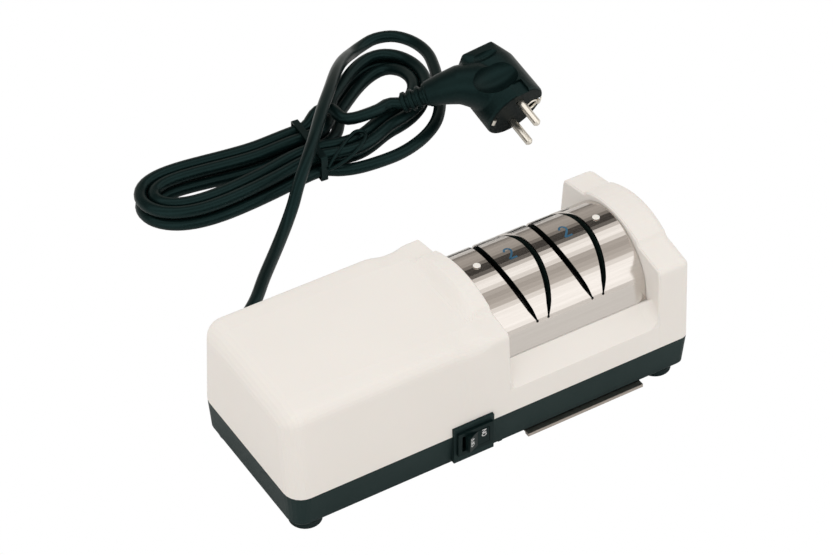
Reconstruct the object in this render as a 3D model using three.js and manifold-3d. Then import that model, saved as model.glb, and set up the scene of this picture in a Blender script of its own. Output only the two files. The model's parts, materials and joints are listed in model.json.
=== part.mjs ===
import * as THREE from 'three';
import { mergeVertices } from 'three/addons/utils/BufferGeometryUtils.js';
import Module from 'manifold-3d';

// Millimetres, +X along the body to the right end, -Y to the user, +Z up, floor at zero.

// Whole body
const bodyLength = 240;
const bodyWidth = 96.7;
const seamHeight = 25;
const wall = 2.5;
const gap = 0.3;
const overrun = 30;
const edgeChamfer = 0.8;
const leftEdgeRadius = 10;
const originShiftY = 3;
const rightEdgeRadius = 5;
const halfLength = bodyLength / 2;
const halfWidth = bodyWidth / 2;

// Cross sections of the white housing
const motorShoulderY = 44.3;
const motorShoulderZ = 76.5;
const motorShoulderRadius = 8.5;
const motorStepY = 30;
const motorRidgeY = 22;
const motorTop = 78;
const dipShoulderY = 43.8;
const dipShoulderZ = 74.2;
const dipShoulderRadius = 9;
const dipStepZ = 77.4;
const hoodShoulderY = 44.1;
const hoodShoulderZ = 74.5;
const hoodShoulderRadius = 4;
const hoodStepY = 27.5;
const hoodStepZ = 77;
const hoodRidgeY = 25;
const hoodRidgeZ = 80;
const hoodCrown = 85.2;
const towerShoulderY = 44.8;
const towerShoulderZ = 74.1;
const towerStepY = 25.6;
const towerStepZ = 77.9;
const towerRidgeY = 23.6;
const towerRidgeZ = 80.4;
const towerCrown = 85.8;
const stepRadius = 4;
const ridgeRadius = 1.5;

// Where the sections lie along X
const dipStartX = -24;
const dipX = -13;
const flareStartX = -9;
const hoodStartX = 1;
const hoodEndX = 9;
const towerStartX = 100;

// Walls beside the cover
const sideKneeY = 47.2;
const sideKneeZ = 39;
const ledgeOuterY = 35.9;
const ledgeInnerY = 33;
const ledgeZ = 49;
const ledgeDepth = 3.4;

// Bulkhead, cover opening and shaft ways
const bulkheadX = 1.5;
const shaftWayRadius = 5.5;
const tongueClearance = 0.4;
const tongueTop = 42;

// Screw posts and feet
const postX = 107;
const postY = 36.3;
const postRadius = 4.5;
const postHeight = 20;
const postRibThickness = 2;
const postRibReach = 9.6;
const pilotRadius = 1.8;
const screwWayRadius = 2.1;
const screwRadius = 1.5;
const screwTop = 42;
const screwHeadRadius = 3;
const screwHeadBottom = 0.8;
const screwHeadHeight = 1.2;
const footTopRadius = 9.2;
const footBottomRadius = 8.8;
const footRecess = 2.3;

// Black base
const underHeight = 4.5;
const underInset = 3;
const kneeHeight = 6.5;
const kneeInset = 1.5;
const floorThickness = 2.5;
const lipHeight = 2;
const lipThickness = 1.4;
const lipClearance = 0.5;
const ventCount = 5;
const ventPitch = 6;
const ventWidth = 2.5;
const ventHalfLength = 18;
const ventX = -88;
const filingsHoleX0 = 25;
const filingsHoleX1 = 85;
const filingsHoleY = 20;

// Switch
const switchX = -15;
const switchZ = 20;
const switchBossHalfWidth = 12;
const switchBossTop = 30;
const switchBossFront = 49.6;
const switchBossBack = 43;
const bezelHalfWidth = 10.5;
const bezelHalfHeight = 7.5;
const bezelThickness = 1.5;
const switchHalfWidth = 9.4;
const switchHalfHeight = 6.4;
const switchDepth = 17;
const pocketHalfWidth = 8.2;
const pocketHalfHeight = 5.2;
const pocketBackY = 42.2;
const pivotY = 47;
const pivotRadius = 1;
const pivotInset = 0.3;
const rockerTilt = 12;
const rockerFaceHalf = 6.75;
const rockerEndY = 6.03;
const rockerMidY = 4.6;
const rockerWaistHalf = 6.9;
const rockerWaistY = 3;
const rockerBackHalf = 4.5;
const rockerBackY = 3.2;
const terminalSpacing = 5;
const terminalThickness = 0.8;
const terminalLength = 7;
const terminalHalfHeight = 3;

// Steel cover and the guide under it
const spindleZ = 48.3;
const coverX0 = 7.7;
const coverX1 = 99.7;
const coverThickness = 0.8;
const coverRadius = 35.4;
const coverArcAngle = 68;
const flangeY = 35.3;
const flangeZ = 49.3;
const coverOpeningRadius = 35.75;
const stageOneX = 36.98;
const stageTwoX = 70.73;
const slotHalfSpacing = 3.36;
const slotSlope = 0.388;
const slotLowZ = 63;
const slotMidZ = 69;
const slotHighZ = 75;
const slotTopZ = 95;
const slotLowHalf = 0.4;
const slotMidHalf = 1.5;
const slotHighHalf = 1.75;
const slotEyeRadius = 0.8;
const pinLeftX = 17.1;
const pinRightX = 90.4;
const pinRadius = 1.4;
const pinLength = 5.5;
const pinProud = 0.6;
const pinHeadRadius = 2;
const pinHeadHeight = 0.5;
const guideX0 = 8.2;
const guideX1 = 99.3;
const guideMiddleZ = 57;
const guideLegInnerY = 31;
const discPocketRadius = 26.5;
const discPocketHalf = 4.3;
const guideSlotHalf = 1.6;
const guideRoofZ = 77;
const guideHollowHalfY = 26;
const hollowOneX0 = 12;
const hollowOneX1 = 22;
const hollowTwoX0 = 51.2;
const hollowTwoX1 = 56.4;
const hollowThreeX0 = 85.6;
const hollowThreeX1 = 95.5;

// Spindle
const shaftLeftX = -96;
const shaftRightX = 112;
const shaftStepLeftX = -20;
const shaftStepRightX = 98;
const shaftRadius = 4;
const journalRadius = 3;
const collarX0 = 18;
const collarRadius = 6;
const discRadius = 25;
const discOuterX = 3.1;
const discInnerX = 0.6;
const discHubRadius = 9;
const tubeRadius = 6;
const lastTubeEndX = 88;
const nutThickness = 3.7;
const nutRadius = 7;
const fanX0 = -92;
const fanX1 = -84;
const fanRadius = 22;
const fanHubRadius = 7;
const fanBladeCount = 7;
const fanBladeThickness = 1.4;
const fanPlateThickness = 1.6;

// Motor
const stackX0 = -62;
const stackX1 = -38;
const stackHalfY = 18;
const stackHalfZ = 20;
const rotorRadius = 12;
const airGap = 0.5;
const limbY0 = 25.5;
const limbY1 = 32.5;
const windowHalfZ = 10;
const bobbinWall = 1;
const bobbinFlange = 1;
const bobbinReachX = 7.5;
const bobbinY0 = 18.4;
const bobbinY1 = 40.3;
const windingShy = 0.6;
const shadingY = 15.2;
const shadingHalfZ = 4.4;
const shadingHalfThickness = 0.6;
const bracketThickness = 1.8;
const bracketHalfWidth = 11;
const bracketReach = 11;
const bracketFoot = 7;
const bracketShoulder = 10;
const bracketBend = 1.4;
const bearingRadius = 8;
const bearingWidth = 5;
const bracketOverhang = 1.6;
const boltY = 7;
const boltZ = 17.3;
const boltRadius = 1.4;
const boltHeadRadius = 2.6;
const boltHeadThickness = 1.6;
const padThickness = 1.7;
const padHalfX = 6;
const padY0 = 6;
const padY1 = 16;

// Right end bearing
const endBearingX = 104.2;
const holderX0 = 103;
const holderX1 = 110;
const holderHalfY = 12;
const holderTop = 60;
const holderBottom = 30;

// Filings tray and magnet
const trayX0 = 19;
const trayX1 = 91;
const trayBottom = 3.2;
const trayTop = 4.2;
const trayPlate = 0.6;
const trayRim = 1.2;
const trayFrontY = 48.8;
const trayHemDepth = 3;
const trayHemBottom = 2.2;
const trayBackY = 24;
const trayTravel = 60;
const railWeb = 2;
const railLip = 3;
const railBottom = 1.9;
const railLipThickness = 1;
const railFrontY = 42;
const magnetX0 = 40;
const magnetX1 = 70;
const magnetY0 = 26;
const magnetY1 = 33;
const magnetHeight = 4;

// Cord, hank and plug
const cordRadius = 3.6;
const reliefX = -86;
const reliefZ = 15;
const reliefCollarRadius = 8;
const reliefNeckRadius = 5.8;
const reliefRootRadius = 6.4;
const reliefTipRadius = 4.6;
const reliefCollarY0 = 48.7;
const reliefCollarY1 = 51.2;
const reliefTipY = 70;
const reliefFlangeRadius = 7.2;
const reliefFlangeY0 = 40.6;
const reliefFlangeY1 = 43;
const reliefStubRadius = 4;
const reliefStubY = 30;
const clampHalfX = 11;
const clampY0 = 32;
const clampY1 = 38;
const clampThickness = 2.4;
const clampPostX = 8;
const clampPostRadius = 2.8;
const clampPilotRadius = 1.3;
const clampScrewRadius = 1;
const clampScrewHeadRadius = 2.2;
const clampScrewDepth = 8;
const wireRadius = 1.1;
const hankX = 37;
const hankY = 208;
const hankAngle = -4;
const leftLobeAngle = 176.5;
const rightLobeAngle = 27;
const leftLobeLength = 102;
const rightLobeLength = 100;
const leftLobeBelly = 28;
const rightLobeFan = 45;
const rightLobeSag = 9;
const lobeFanShare = 0.2;
const lobeTurnLength = 45;
const cordPitch = 7.72;
const outerRun = 15.3;
const runMiddle = 9.5;
const waistLift = 1.6;
const waistLiftLength = 26;
const hankStub = 1.8;
const tieHalfWidth = 2;
const tieThickness = 0.8;
const tieRadius = 1.5;
const plugX = 151;
const plugY = 168;
const plugZ = 18.2;
const plugTilt = 19.8;
const plugYaw = 6.3;
const plugPinRadius = 2.4;
const plugPinLength = 19;
const plugPinSpacing = 9.5;
const plugPinRoot = 4;

const circleSides = 36;
const smallSides = 16;
const cordSides = 10;
const hankSides = 6;
const hankSteps = 24;
const cornerSteps = 6;
const dipSteps = 3;
const flareSteps = 6;
const crownSteps = 5;

const wasm = await Module();
wasm.setup();
const radians = Math.PI / 180;

const group = new THREE.Group();
group.name = 'knife_sharpener';

// Solids

function solidOf(geometry) {
  const plain = geometry.clone();
  plain.deleteAttribute('normal');
  plain.deleteAttribute('uv');
  const merged = mergeVertices(plain, 1e-4);
  const vertProperties = new Float32Array(merged.getAttribute('position').array);
  const triVerts = new Uint32Array(merged.index.array);
  const solid = new wasm.Manifold(new wasm.Mesh({ numProp: 3, vertProperties, triVerts }));
  if (solid.volume() > 0) return solid;
  for (let i = 0; i < triVerts.length; i += 3) triVerts.subarray(i, i + 3).reverse();
  return new wasm.Manifold(new wasm.Mesh({ numProp: 3, vertProperties, triVerts }));
}

function geometryOf(solid) {
  const mesh = solid.getMesh();
  const geometry = new THREE.BufferGeometry();
  geometry.setAttribute('position', new THREE.BufferAttribute(mesh.vertProperties, mesh.numProp));
  geometry.setIndex(new THREE.BufferAttribute(mesh.triVerts, 1));
  geometry.computeVertexNormals();
  return geometry;
}

function joined(solids) {
  return solids.reduce((sum, solid) => sum.add(solid));
}

function cut(solid, tools) {
  return tools.reduce((rest, tool) => rest.subtract(tool), solid);
}

function box(x0, x1, y0, y1, z0, z1) {
  const geometry = new THREE.BoxGeometry(x1 - x0, y1 - y0, z1 - z0);
  geometry.translate((x0 + x1) / 2, (y0 + y1) / 2, (z0 + z1) / 2);
  return solidOf(geometry);
}

function turnedTo(geometry, axis) {
  if (axis === 'x') geometry.rotateZ(-Math.PI / 2);
  if (axis === 'z') geometry.rotateX(Math.PI / 2);
  return geometry;
}

// A turned solid: profile pairs are [distance along the axis, radius].
function turned(axis, centre, profile, sides = circleSides) {
  const points = profile.map(([along, radius]) => new THREE.Vector2(radius, along));
  const geometry = turnedTo(new THREE.LatheGeometry(points, sides), axis);
  return solidOf(geometry.translate(...centre));
}

function cylinder(axis, centre, radius, from, to, sides = circleSides) {
  return turned(axis, centre, [[from, 0], [from, radius], [to, radius], [to, 0]], sides);
}

function ring(axis, centre, inner, outer, from, to, sides = circleSides) {
  const profile = [[from, inner], [from, outer], [to, outer], [to, inner], [from, inner]];
  return turned(axis, centre, profile, sides);
}

// A closed skin over rings of points that all have the same count.
function loft(given, flatten) {
  const turnedBack = THREE.ShapeUtils.area(given[0].map(flatten)) < 0;
  const rings = turnedBack ? given.map((points) => [...points].reverse()) : given;
  const count = rings[0].length;
  const index = [];
  for (let r = 0; r + 1 < rings.length; r += 1) {
    for (let i = 0; i < count; i += 1) {
      const a = r * count + i;
      const b = r * count + (i + 1) % count;
      index.push(a, b, a + count, b, b + count, a + count);
    }
  }
  [0, rings.length - 1].forEach((r, end) => {
    const flat = rings[r].map(flatten);
    const facing = (end === 1) === (THREE.ShapeUtils.area(flat) > 0);
    THREE.ShapeUtils.triangulateShape(flat, []).forEach((face) => {
      const corners = face.map((i) => i + r * count);
      index.push(...(facing ? corners : corners.reverse()));
    });
  });
  const geometry = new THREE.BufferGeometry();
  geometry.setAttribute('position', new THREE.Float32BufferAttribute(rings.flat(2), 3));
  geometry.setIndex(index);
  return solidOf(geometry);
}

function prismX(outline, x0, x1) {
  const rings = [x0, x1].map((x) => outline.map(([y, z]) => [x, y, z]));
  return loft(rings, ([, y, z]) => new THREE.Vector2(y, z));
}

function prismY(outline, y0, y1) {
  const rings = [y1, y0].map((y) => outline.map(([x, z]) => [x, y, z]));
  return loft(rings, ([x, , z]) => new THREE.Vector2(x, z));
}

function prismZ(outline, z0, z1) {
  const rings = [z0, z1].map((z) => outline.map(([x, y]) => [x, y, z]));
  return loft(rings, ([x, y]) => new THREE.Vector2(x, y));
}

function arcPoints(cy, cz, radius, from, to, steps) {
  const points = [];
  for (let i = 0; i <= steps; i += 1) {
    const angle = (from + (to - from) * i / steps) * radians;
    points.push([cy + radius * Math.cos(angle), cz + radius * Math.sin(angle)]);
  }
  return points;
}

function mirrored(solid) {
  return solid.mirror([0, 1, 0]);
}

function material(color, roughness, metalness) {
  return new THREE.MeshStandardMaterial({ color, roughness, metalness });
}

const white = () => material(0xe8e3dd, 0.42, 0);
const black = () => material(0x1d201f, 0.5, 0);
const rubber = () => material(0x151716, 0.75, 0);
const steel = () => material(0xb5b0aa, 0.32, 1);
const copper = () => material(0xb8703c, 0.35, 1);
const iron = () => material(0x6c6e70, 0.5, 1);

function addPart(name, shape, finish) {
  const geometry = shape.isBufferGeometry ? shape : geometryOf(shape);
  geometry.translate(0, originShiftY, 0);
  const mesh = new THREE.Mesh(geometry, finish);
  mesh.name = name;
  group.add(mesh);
  return mesh;
}

// White housing

const motorSection = {
  y: [motorShoulderY, motorStepY, motorRidgeY],
  z: [motorShoulderZ, motorTop, motorTop, motorTop],
  r: motorShoulderRadius,
};
const dipSection = {
  y: [dipShoulderY, motorStepY, motorRidgeY],
  z: [dipShoulderZ, dipStepZ, motorTop, motorTop],
  r: dipShoulderRadius,
};
const hoodSection = {
  y: [hoodShoulderY, hoodStepY, hoodRidgeY],
  z: [hoodShoulderZ, hoodStepZ, hoodRidgeZ, hoodCrown],
  r: hoodShoulderRadius,
};
const towerSection = {
  y: [towerShoulderY, towerStepY, towerRidgeY],
  z: [towerShoulderZ, towerStepZ, towerRidgeZ, towerCrown],
  r: hoodShoulderRadius,
};

function blendSections(a, b, share) {
  const mix = (p, q) => p + (q - p) * share;
  return {
    y: a.y.map((value, i) => mix(value, b.y[i])),
    z: a.z.map((value, i) => mix(value, b.z[i])),
    r: mix(a.r, b.r),
  };
}

function eased(share) {
  const t = Math.min(Math.max(share, 0), 1);
  return t * t * (3 - 2 * t);
}

function roundedCorner(before, corner, after, radius, steps) {
  const p = new THREE.Vector2(...before);
  const c = new THREE.Vector2(...corner);
  const q = new THREE.Vector2(...after);
  const u = p.clone().sub(c);
  const v = q.clone().sub(c);
  const most = Math.min(u.length(), v.length()) / 2.2;
  u.normalize();
  v.normalize();
  const half = Math.acos(Math.min(Math.max(u.dot(v), -1), 1)) / 2;
  const reach = Math.min(radius / Math.tan(half), most);
  const start = c.clone().addScaledVector(u, reach);
  const end = c.clone().addScaledVector(v, reach);
  const curve = new THREE.QuadraticBezierCurve(start, c, end);
  return curve.getPoints(steps).map((point) => [point.x, point.y]);
}

// Outline of the housing at one station, from the +Y foot of the wall over the top to the -Y foot.
function housingOutline(section, inset, bottomZ) {
  const [shoulderY, stepY, ridgeY] = section.y.map((value) => value - inset);
  const [shoulderZ, stepZ, ridgeZ, crownZ] = section.z.map((value) => value - inset);
  const lean = (halfWidth - section.y[0]) / (section.z[0] - seamHeight);
  const foot = [halfWidth - inset + lean * (seamHeight - bottomZ), bottomZ];
  const shoulder = [shoulderY, shoulderZ];
  const step = [stepY, stepZ];
  const ridge = [ridgeY, ridgeZ];
  const crownAt = (share) => [ridgeY * share, crownZ - (crownZ - ridgeZ) * share * share];
  const radius = Math.max(section.r - inset, ridgeRadius);
  const side = [
    foot,
    ...roundedCorner(foot, shoulder, step, radius, cornerSteps),
    ...roundedCorner(shoulder, step, ridge, stepRadius, cornerSteps / 2),
    ridge,
  ];
  for (let i = 1; i < crownSteps; i += 1) side.push(crownAt(1 - i / crownSteps));
  const other = side.map(([y, z]) => [-y, z]).reverse();
  return [...side, [0, crownZ], ...other];
}

function sectionAt(x) {
  if (x <= dipX) return blendSections(motorSection, dipSection, eased((x - dipStartX) / (dipX - dipStartX)));
  return blendSections(dipSection, hoodSection, eased((x - flareStartX) / (hoodStartX - flareStartX)));
}

// Stations of a rounded end: pairs of x and inset, on a quarter round.
function roundedEnd(xEnd, radius, inward, extra) {
  const stations = [];
  for (let i = 0; i <= cornerSteps; i += 1) {
    const angle = 90 * radians * i / cornerSteps;
    const x = xEnd + inward * radius * (1 - Math.cos(angle));
    stations.push([x, extra + radius * (1 - Math.sin(angle))]);
  }
  return stations;
}

function housingLoft(stations, sectionFor, bottomZ) {
  const rings = stations.map(([x, inset]) => {
    return housingOutline(sectionFor(x), inset, bottomZ).map(([y, z]) => [x, y, z]);
  });
  return loft(rings, ([, y, z]) => new THREE.Vector2(y, z));
}

function steps(from, to, count) {
  return Array.from({ length: count + 1 }, (_, i) => from + (to - from) * i / count);
}

function motorShell() {
  const dip = steps(dipStartX, dipX, dipSteps);
  const flare = steps(flareStartX, hoodStartX, flareSteps);
  const outer = [
    ...roundedEnd(-halfLength, leftEdgeRadius, 1, 0),
    ...dip.map((x) => [x, 0]),
    ...flare.map((x) => [x, 0]),
    [hoodEndX - edgeChamfer, 0],
    [hoodEndX, edgeChamfer],
  ];
  const inner = [
    ...roundedEnd(-halfLength + wall, leftEdgeRadius - wall, 1, wall),
    ...dip.map((x) => [x, wall]),
    ...flare.map((x) => [x, wall]),
    [bulkheadX, wall],
  ];
  const shell = housingLoft(outer, sectionAt, seamHeight);
  return shell.subtract(housingLoft(inner, sectionAt, seamHeight - overrun));
}

function towerShell() {
  const outer = [
    [towerStartX, edgeChamfer],
    [towerStartX + edgeChamfer, 0],
    ...roundedEnd(halfLength, rightEdgeRadius, -1, 0).reverse(),
  ];
  const inner = [
    [towerStartX + wall, wall],
    ...roundedEnd(halfLength - wall, rightEdgeRadius - wall, -1, wall).reverse(),
  ];
  const shell = housingLoft(outer, () => towerSection, seamHeight);
  return shell.subtract(housingLoft(inner, () => towerSection, seamHeight - overrun));
}

function middleWall() {
  const slopeY = sideKneeY - ledgeOuterY;
  const slopeZ = ledgeZ - sideKneeZ;
  const length = Math.hypot(slopeY, slopeZ);
  const innerKneeY = sideKneeY - wall * slopeZ / length;
  const innerKneeZ = sideKneeZ - wall * slopeY / length;
  const alongSlope = (y) => innerKneeZ + (innerKneeY - y) * slopeZ / slopeY;
  const ledgeUnder = ledgeZ - ledgeDepth;
  const underY = innerKneeY - (ledgeUnder - innerKneeZ) * slopeY / slopeZ;
  const kneeY = sideKneeY - wall;
  return prismX([
    [halfWidth, seamHeight],
    [sideKneeY, sideKneeZ],
    [ledgeOuterY, ledgeZ],
    [ledgeInnerY, ledgeZ],
    [ledgeInnerY, ledgeUnder],
    [underY, ledgeUnder],
    [kneeY, alongSlope(kneeY)],
    [halfWidth - wall, seamHeight],
  ], hoodEndX - edgeChamfer * 2, towerStartX + wall);
}

function shaftWay(x0, x1) {
  const round = cylinder('x', [0, 0, spindleZ], shaftWayRadius, x0, x1);
  return round.add(box(x0, x1, -shaftWayRadius, shaftWayRadius, seamHeight - overrun, spindleZ));
}

function coverOpening() {
  const x0 = bulkheadX + wall;
  const x1 = hoodEndX + overrun;
  const above = box(x0, x1, -halfWidth, halfWidth, ledgeZ, towerCrown);
  const arch = cylinder('x', [0, 0, spindleZ], coverOpeningRadius, x0, x1, circleSides * 2);
  const below = box(x0, hoodEndX, -ledgeInnerY, ledgeInnerY, seamHeight - overrun, ledgeZ);
  return arch.intersect(above).add(below);
}

const postSpots = [
  ['front_left', -postX, -postY],
  ['rear_left', -postX, postY],
  ['front_right', postX, -postY],
  ['rear_right', postX, postY],
];

function fourPosts(make) {
  return joined(postSpots.map(([, x, y]) => make(x, y)));
}

function housingPost(x, y) {
  const z0 = seamHeight + gap;
  const z1 = z0 + postHeight;
  const side = Math.sign(y);
  const ribs = [y, y + side * postRibReach].sort((a, b) => a - b);
  const half = postRibThickness / 2;
  const rib = box(x - half, x + half, ribs[0], ribs[1], z0 + lipHeight, z1);
  return cylinder('z', [x, y, 0], postRadius, z0, z1, smallSides).add(rib);
}

function pilotHole(x, y) {
  return cylinder('z', [x, y, 0], pilotRadius, 0, screwTop + gap, smallSides);
}

function padBox(side, z0, z1, grow) {
  const x = (stackX0 + stackX1) / 2;
  const ys = [side * (padY0 - grow), side * (padY1 + grow)].sort((a, b) => a - b);
  return box(x - padHalfX - grow, x + padHalfX + grow, ys[0], ys[1], z0, z1);
}

function upperHousing() {
  const front = middleWall();
  const opening = coverOpening();
  const hood = motorShell().subtract(opening);
  const padUnder = spindleZ + stackHalfZ + padThickness + gap * 2;
  const padRibs = [-1, 1].map((side) => padBox(side, padUnder, motorTop - wall / 2, 0));
  const switchBoss = box(
    switchX - switchBossHalfWidth - gap,
    switchX + switchBossHalfWidth + gap,
    -halfWidth - wall,
    -switchBossBack + wall,
    seamHeight - overrun,
    switchBossTop + gap,
  );
  const whole = joined([hood, towerShell(), front, mirrored(front), fourPosts(housingPost), ...padRibs]);
  return cut(whole, [
    shaftWay(bulkheadX - wall, hoodEndX),
    shaftWay(towerStartX - wall, towerStartX + wall + gap),
    switchBoss,
    fourPosts(pilotHole),
    seamLip(gap),
  ]);
}

// Black base

function planOutline(inset) {
  const corners = [
    [halfLength, halfWidth, rightEdgeRadius, 0],
    [-halfLength, halfWidth, leftEdgeRadius, 90],
    [-halfLength, -halfWidth, leftEdgeRadius, 180],
    [halfLength, -halfWidth, rightEdgeRadius, 270],
  ];
  return corners.flatMap(([x, y, edge, from]) => {
    const radius = Math.max(edge - inset, edgeChamfer);
    const cx = x - Math.sign(x) * (inset + radius);
    const cy = y - Math.sign(y) * (inset + radius);
    return arcPoints(cx, cy, radius, from, from + 90, cornerSteps);
  });
}

function planLoft(levels) {
  const rings = levels.map(([z, inset]) => planOutline(inset).map(([x, y]) => [x, y, z]));
  return loft(rings, ([x, y]) => new THREE.Vector2(x, y));
}

function baseInset(z) {
  return kneeInset * (seamHeight - z) / (seamHeight - kneeHeight);
}

const floorTop = underHeight + floorThickness;
const baseTop = seamHeight - gap;

function seamLip(grow) {
  const outer = wall + lipClearance - grow;
  const inner = wall + lipClearance + lipThickness + grow;
  const top = seamHeight + lipHeight + grow;
  const bottom = seamHeight - gap - lipHeight;
  return planLoft([[bottom, outer], [top, outer]]).subtract(planLoft([[bottom - wall, inner], [top + wall, inner]]));
}

function baseTub() {
  const outer = planLoft([[underHeight, underInset], [kneeHeight, kneeInset], [baseTop, baseInset(baseTop)]]);
  const low = baseInset(floorTop) + wall;
  const inner = planLoft([[floorTop, low], [seamHeight, wall], [seamHeight + overrun, wall]]);
  const rootBottom = baseTop - lipHeight * 2;
  const root = planLoft([[rootBottom, wall / 2], [baseTop, wall / 2]]);
  const lipInner = wall + lipClearance + lipThickness;
  const hollow = planLoft([[rootBottom - wall, lipInner], [seamHeight + wall, lipInner]]);
  return joined([outer.subtract(inner), root.subtract(hollow), seamLip(0)]);
}

function tongue(x) {
  const half = shaftWayRadius - tongueClearance;
  return box(x, x + wall, -half, half, underHeight + wall / 2, tongueTop);
}

function lowerBulkhead() {
  const half = halfWidth - kneeInset;
  return box(bulkheadX, bulkheadX + wall, -half, half, underHeight + wall / 2, baseTop);
}

function rail(x, side) {
  const web = [x, x + side * railWeb].sort((a, b) => a - b);
  const lip = [x - side * railLip, x + side * railWeb].sort((a, b) => a - b);
  const upTo = underHeight + wall / 2;
  const wing = box(web[0], web[1], -railFrontY, trayBackY, railBottom, upTo);
  return wing.add(box(lip[0], lip[1], -railFrontY, trayBackY, railBottom, railBottom + railLipThickness));
}

function ventSlots() {
  const slots = [];
  for (let i = 0; i < ventCount; i += 1) {
    const x = ventX + (i - (ventCount - 1) / 2) * ventPitch;
    const half = ventWidth / 2;
    slots.push(box(x - half, x + half, -ventHalfLength, ventHalfLength, 0, floorTop + wall));
  }
  return joined(slots);
}

const clampY = (clampY0 + clampY1) / 2;
const clampPostTop = reliefZ + reliefStubRadius;

function clampSpots(make) {
  return [-clampPostX, clampPostX].map((dx) => make(reliefX + dx, clampY));
}

function baseShell() {
  const low = underHeight + wall / 2;
  const boss = box(
    switchX - switchBossHalfWidth,
    switchX + switchBossHalfWidth,
    -switchBossFront,
    -switchBossBack,
    floorTop,
    switchBossTop,
  );
  const saddleTop = spindleZ - stackHalfZ - padThickness - gap * 2;
  const saddles = [-1, 1].map((side) => padBox(side, low, saddleTop, 1));
  const pillar = box(holderX0 + 1, holderX1 - 1, -holderHalfY + 1, holderHalfY - 1, low, holderBottom - gap);
  const clampPosts = clampSpots((x, y) => {
    return cylinder('z', [x, y, 0], clampPostRadius, low, clampPostTop, smallSides);
  });
  const posts = fourPosts((x, y) => cylinder('z', [x, y, 0], postRadius, low, baseTop, smallSides));
  const whole = joined([
    baseTub(), boss, lowerBulkhead(), tongue(bulkheadX), tongue(towerStartX), pillar, posts,
    ...saddles, ...clampPosts, rail(trayX1 + gap, 1), rail(trayX0 - gap, -1),
  ]);
  const switchHole = box(
    switchX - switchHalfWidth - gap,
    switchX + switchHalfWidth + gap,
    -switchBossFront - overrun,
    -switchBossBack + wall * 2,
    switchZ - switchHalfHeight - gap,
    switchZ + switchHalfHeight + gap,
  );
  const clampHoles = clampSpots((x, y) => {
    const bottom = clampPostTop - clampScrewDepth - gap;
    return cylinder('z', [x, y, 0], clampPilotRadius, bottom, clampPostTop + wall, smallSides);
  });
  return cut(whole, [
    switchHole,
    fourPosts((x, y) => cylinder('z', [x, y, 0], screwWayRadius, 0, seamHeight + wall, smallSides)),
    box(filingsHoleX0, filingsHoleX1, -filingsHoleY, filingsHoleY, underHeight - gap, floorTop + gap),
    ventSlots(),
    cylinder('y', [reliefX, 0, reliefZ], reliefNeckRadius + gap, reliefFlangeY0, reliefCollarY1),
    ...clampHoles,
  ]);
}

function footShape(x, y) {
  const outer = turned('z', [x, y, 0], [
    [0, 0],
    [0, footBottomRadius],
    [underHeight - gap, footTopRadius],
    [underHeight - gap, 0],
  ], smallSides * 2);
  const recess = cylinder('z', [x, y, 0], screwHeadRadius + gap * 2, -wall, footRecess, smallSides);
  return cut(outer, [recess, cylinder('z', [x, y, 0], screwWayRadius, -wall, underHeight, smallSides)]);
}

function housingScrew(x, y) {
  const head = screwHeadBottom + screwHeadHeight;
  return turned('z', [x, y, 0], [
    [screwHeadBottom, 0],
    [screwHeadBottom, screwHeadRadius],
    [head, screwHeadRadius],
    [head, screwRadius],
    [screwTop, screwRadius],
    [screwTop, 0],
  ], smallSides);
}

// Switch

function switchBody() {
  const bezelBack = -switchBossFront - gap;
  const bezel = box(
    switchX - bezelHalfWidth,
    switchX + bezelHalfWidth,
    bezelBack - bezelThickness,
    bezelBack,
    switchZ - bezelHalfHeight,
    switchZ + bezelHalfHeight,
  );
  const body = box(
    switchX - switchHalfWidth,
    switchX + switchHalfWidth,
    bezelBack - bezelThickness,
    bezelBack + switchDepth,
    switchZ - switchHalfHeight,
    switchZ + switchHalfHeight,
  );
  const pocket = box(
    switchX - pocketHalfWidth,
    switchX + pocketHalfWidth,
    -switchBossFront - overrun,
    -pocketBackY,
    switchZ - pocketHalfHeight,
    switchZ + pocketHalfHeight,
  );
  const reach = switchHalfHeight + wall;
  const pivot = cylinder('z', [switchX, -pivotY, switchZ], pivotRadius + gap, -reach, reach, smallSides);
  return cut(bezel.add(body), [pocket, pivot]);
}

function switchRocker() {
  const outline = [
    [-rockerFaceHalf, -rockerEndY],
    [0, -rockerMidY],
    [rockerFaceHalf, -rockerEndY],
    [rockerWaistHalf, -rockerWaistY],
    [rockerBackHalf, rockerBackY],
    [-rockerBackHalf, rockerBackY],
    [-rockerWaistHalf, -rockerWaistY],
  ];
  const cosine = Math.cos(rockerTilt * radians);
  const sine = Math.sin(rockerTilt * radians);
  const placed = outline.map(([x, y]) => [
    switchX + x * cosine - y * sine,
    -pivotY + x * sine + y * cosine,
  ]);
  const half = pocketHalfHeight - gap;
  const reach = switchHalfHeight - pivotInset;
  const block = prismZ(placed, switchZ - half, switchZ + half);
  return block.add(cylinder('z', [switchX, -pivotY, switchZ], pivotRadius, -reach, reach, smallSides));
}

const terminalY0 = -switchBossFront + switchDepth;

function switchTerminal(side) {
  const x = switchX + side * terminalSpacing;
  const half = terminalThickness / 2;
  const z0 = switchZ - terminalHalfHeight;
  return box(x - half, x + half, terminalY0, terminalY0 + terminalLength, z0, switchZ + terminalHalfHeight);
}

// Steel cover, pins and guide

function archOutline(radius, legY, bottomZ) {
  const arc = arcPoints(0, spindleZ, radius, 90 - coverArcAngle, 90 + coverArcAngle, circleSides);
  return [[legY, bottomZ], ...arc, [-legY, bottomZ]];
}

function slotCentre(stageX, side, z) {
  return stageX + side * (slotHalfSpacing + (z - slotLowZ) * slotSlope);
}

function slotPrism(stageX, side, widths) {
  const left = widths.map(([z, half]) => [slotCentre(stageX, side, z) - half, z]);
  const right = widths.map(([z, half]) => [slotCentre(stageX, side, z) + half, z]).reverse();
  return prismY([...left, ...right], -halfWidth, halfWidth);
}

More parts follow.
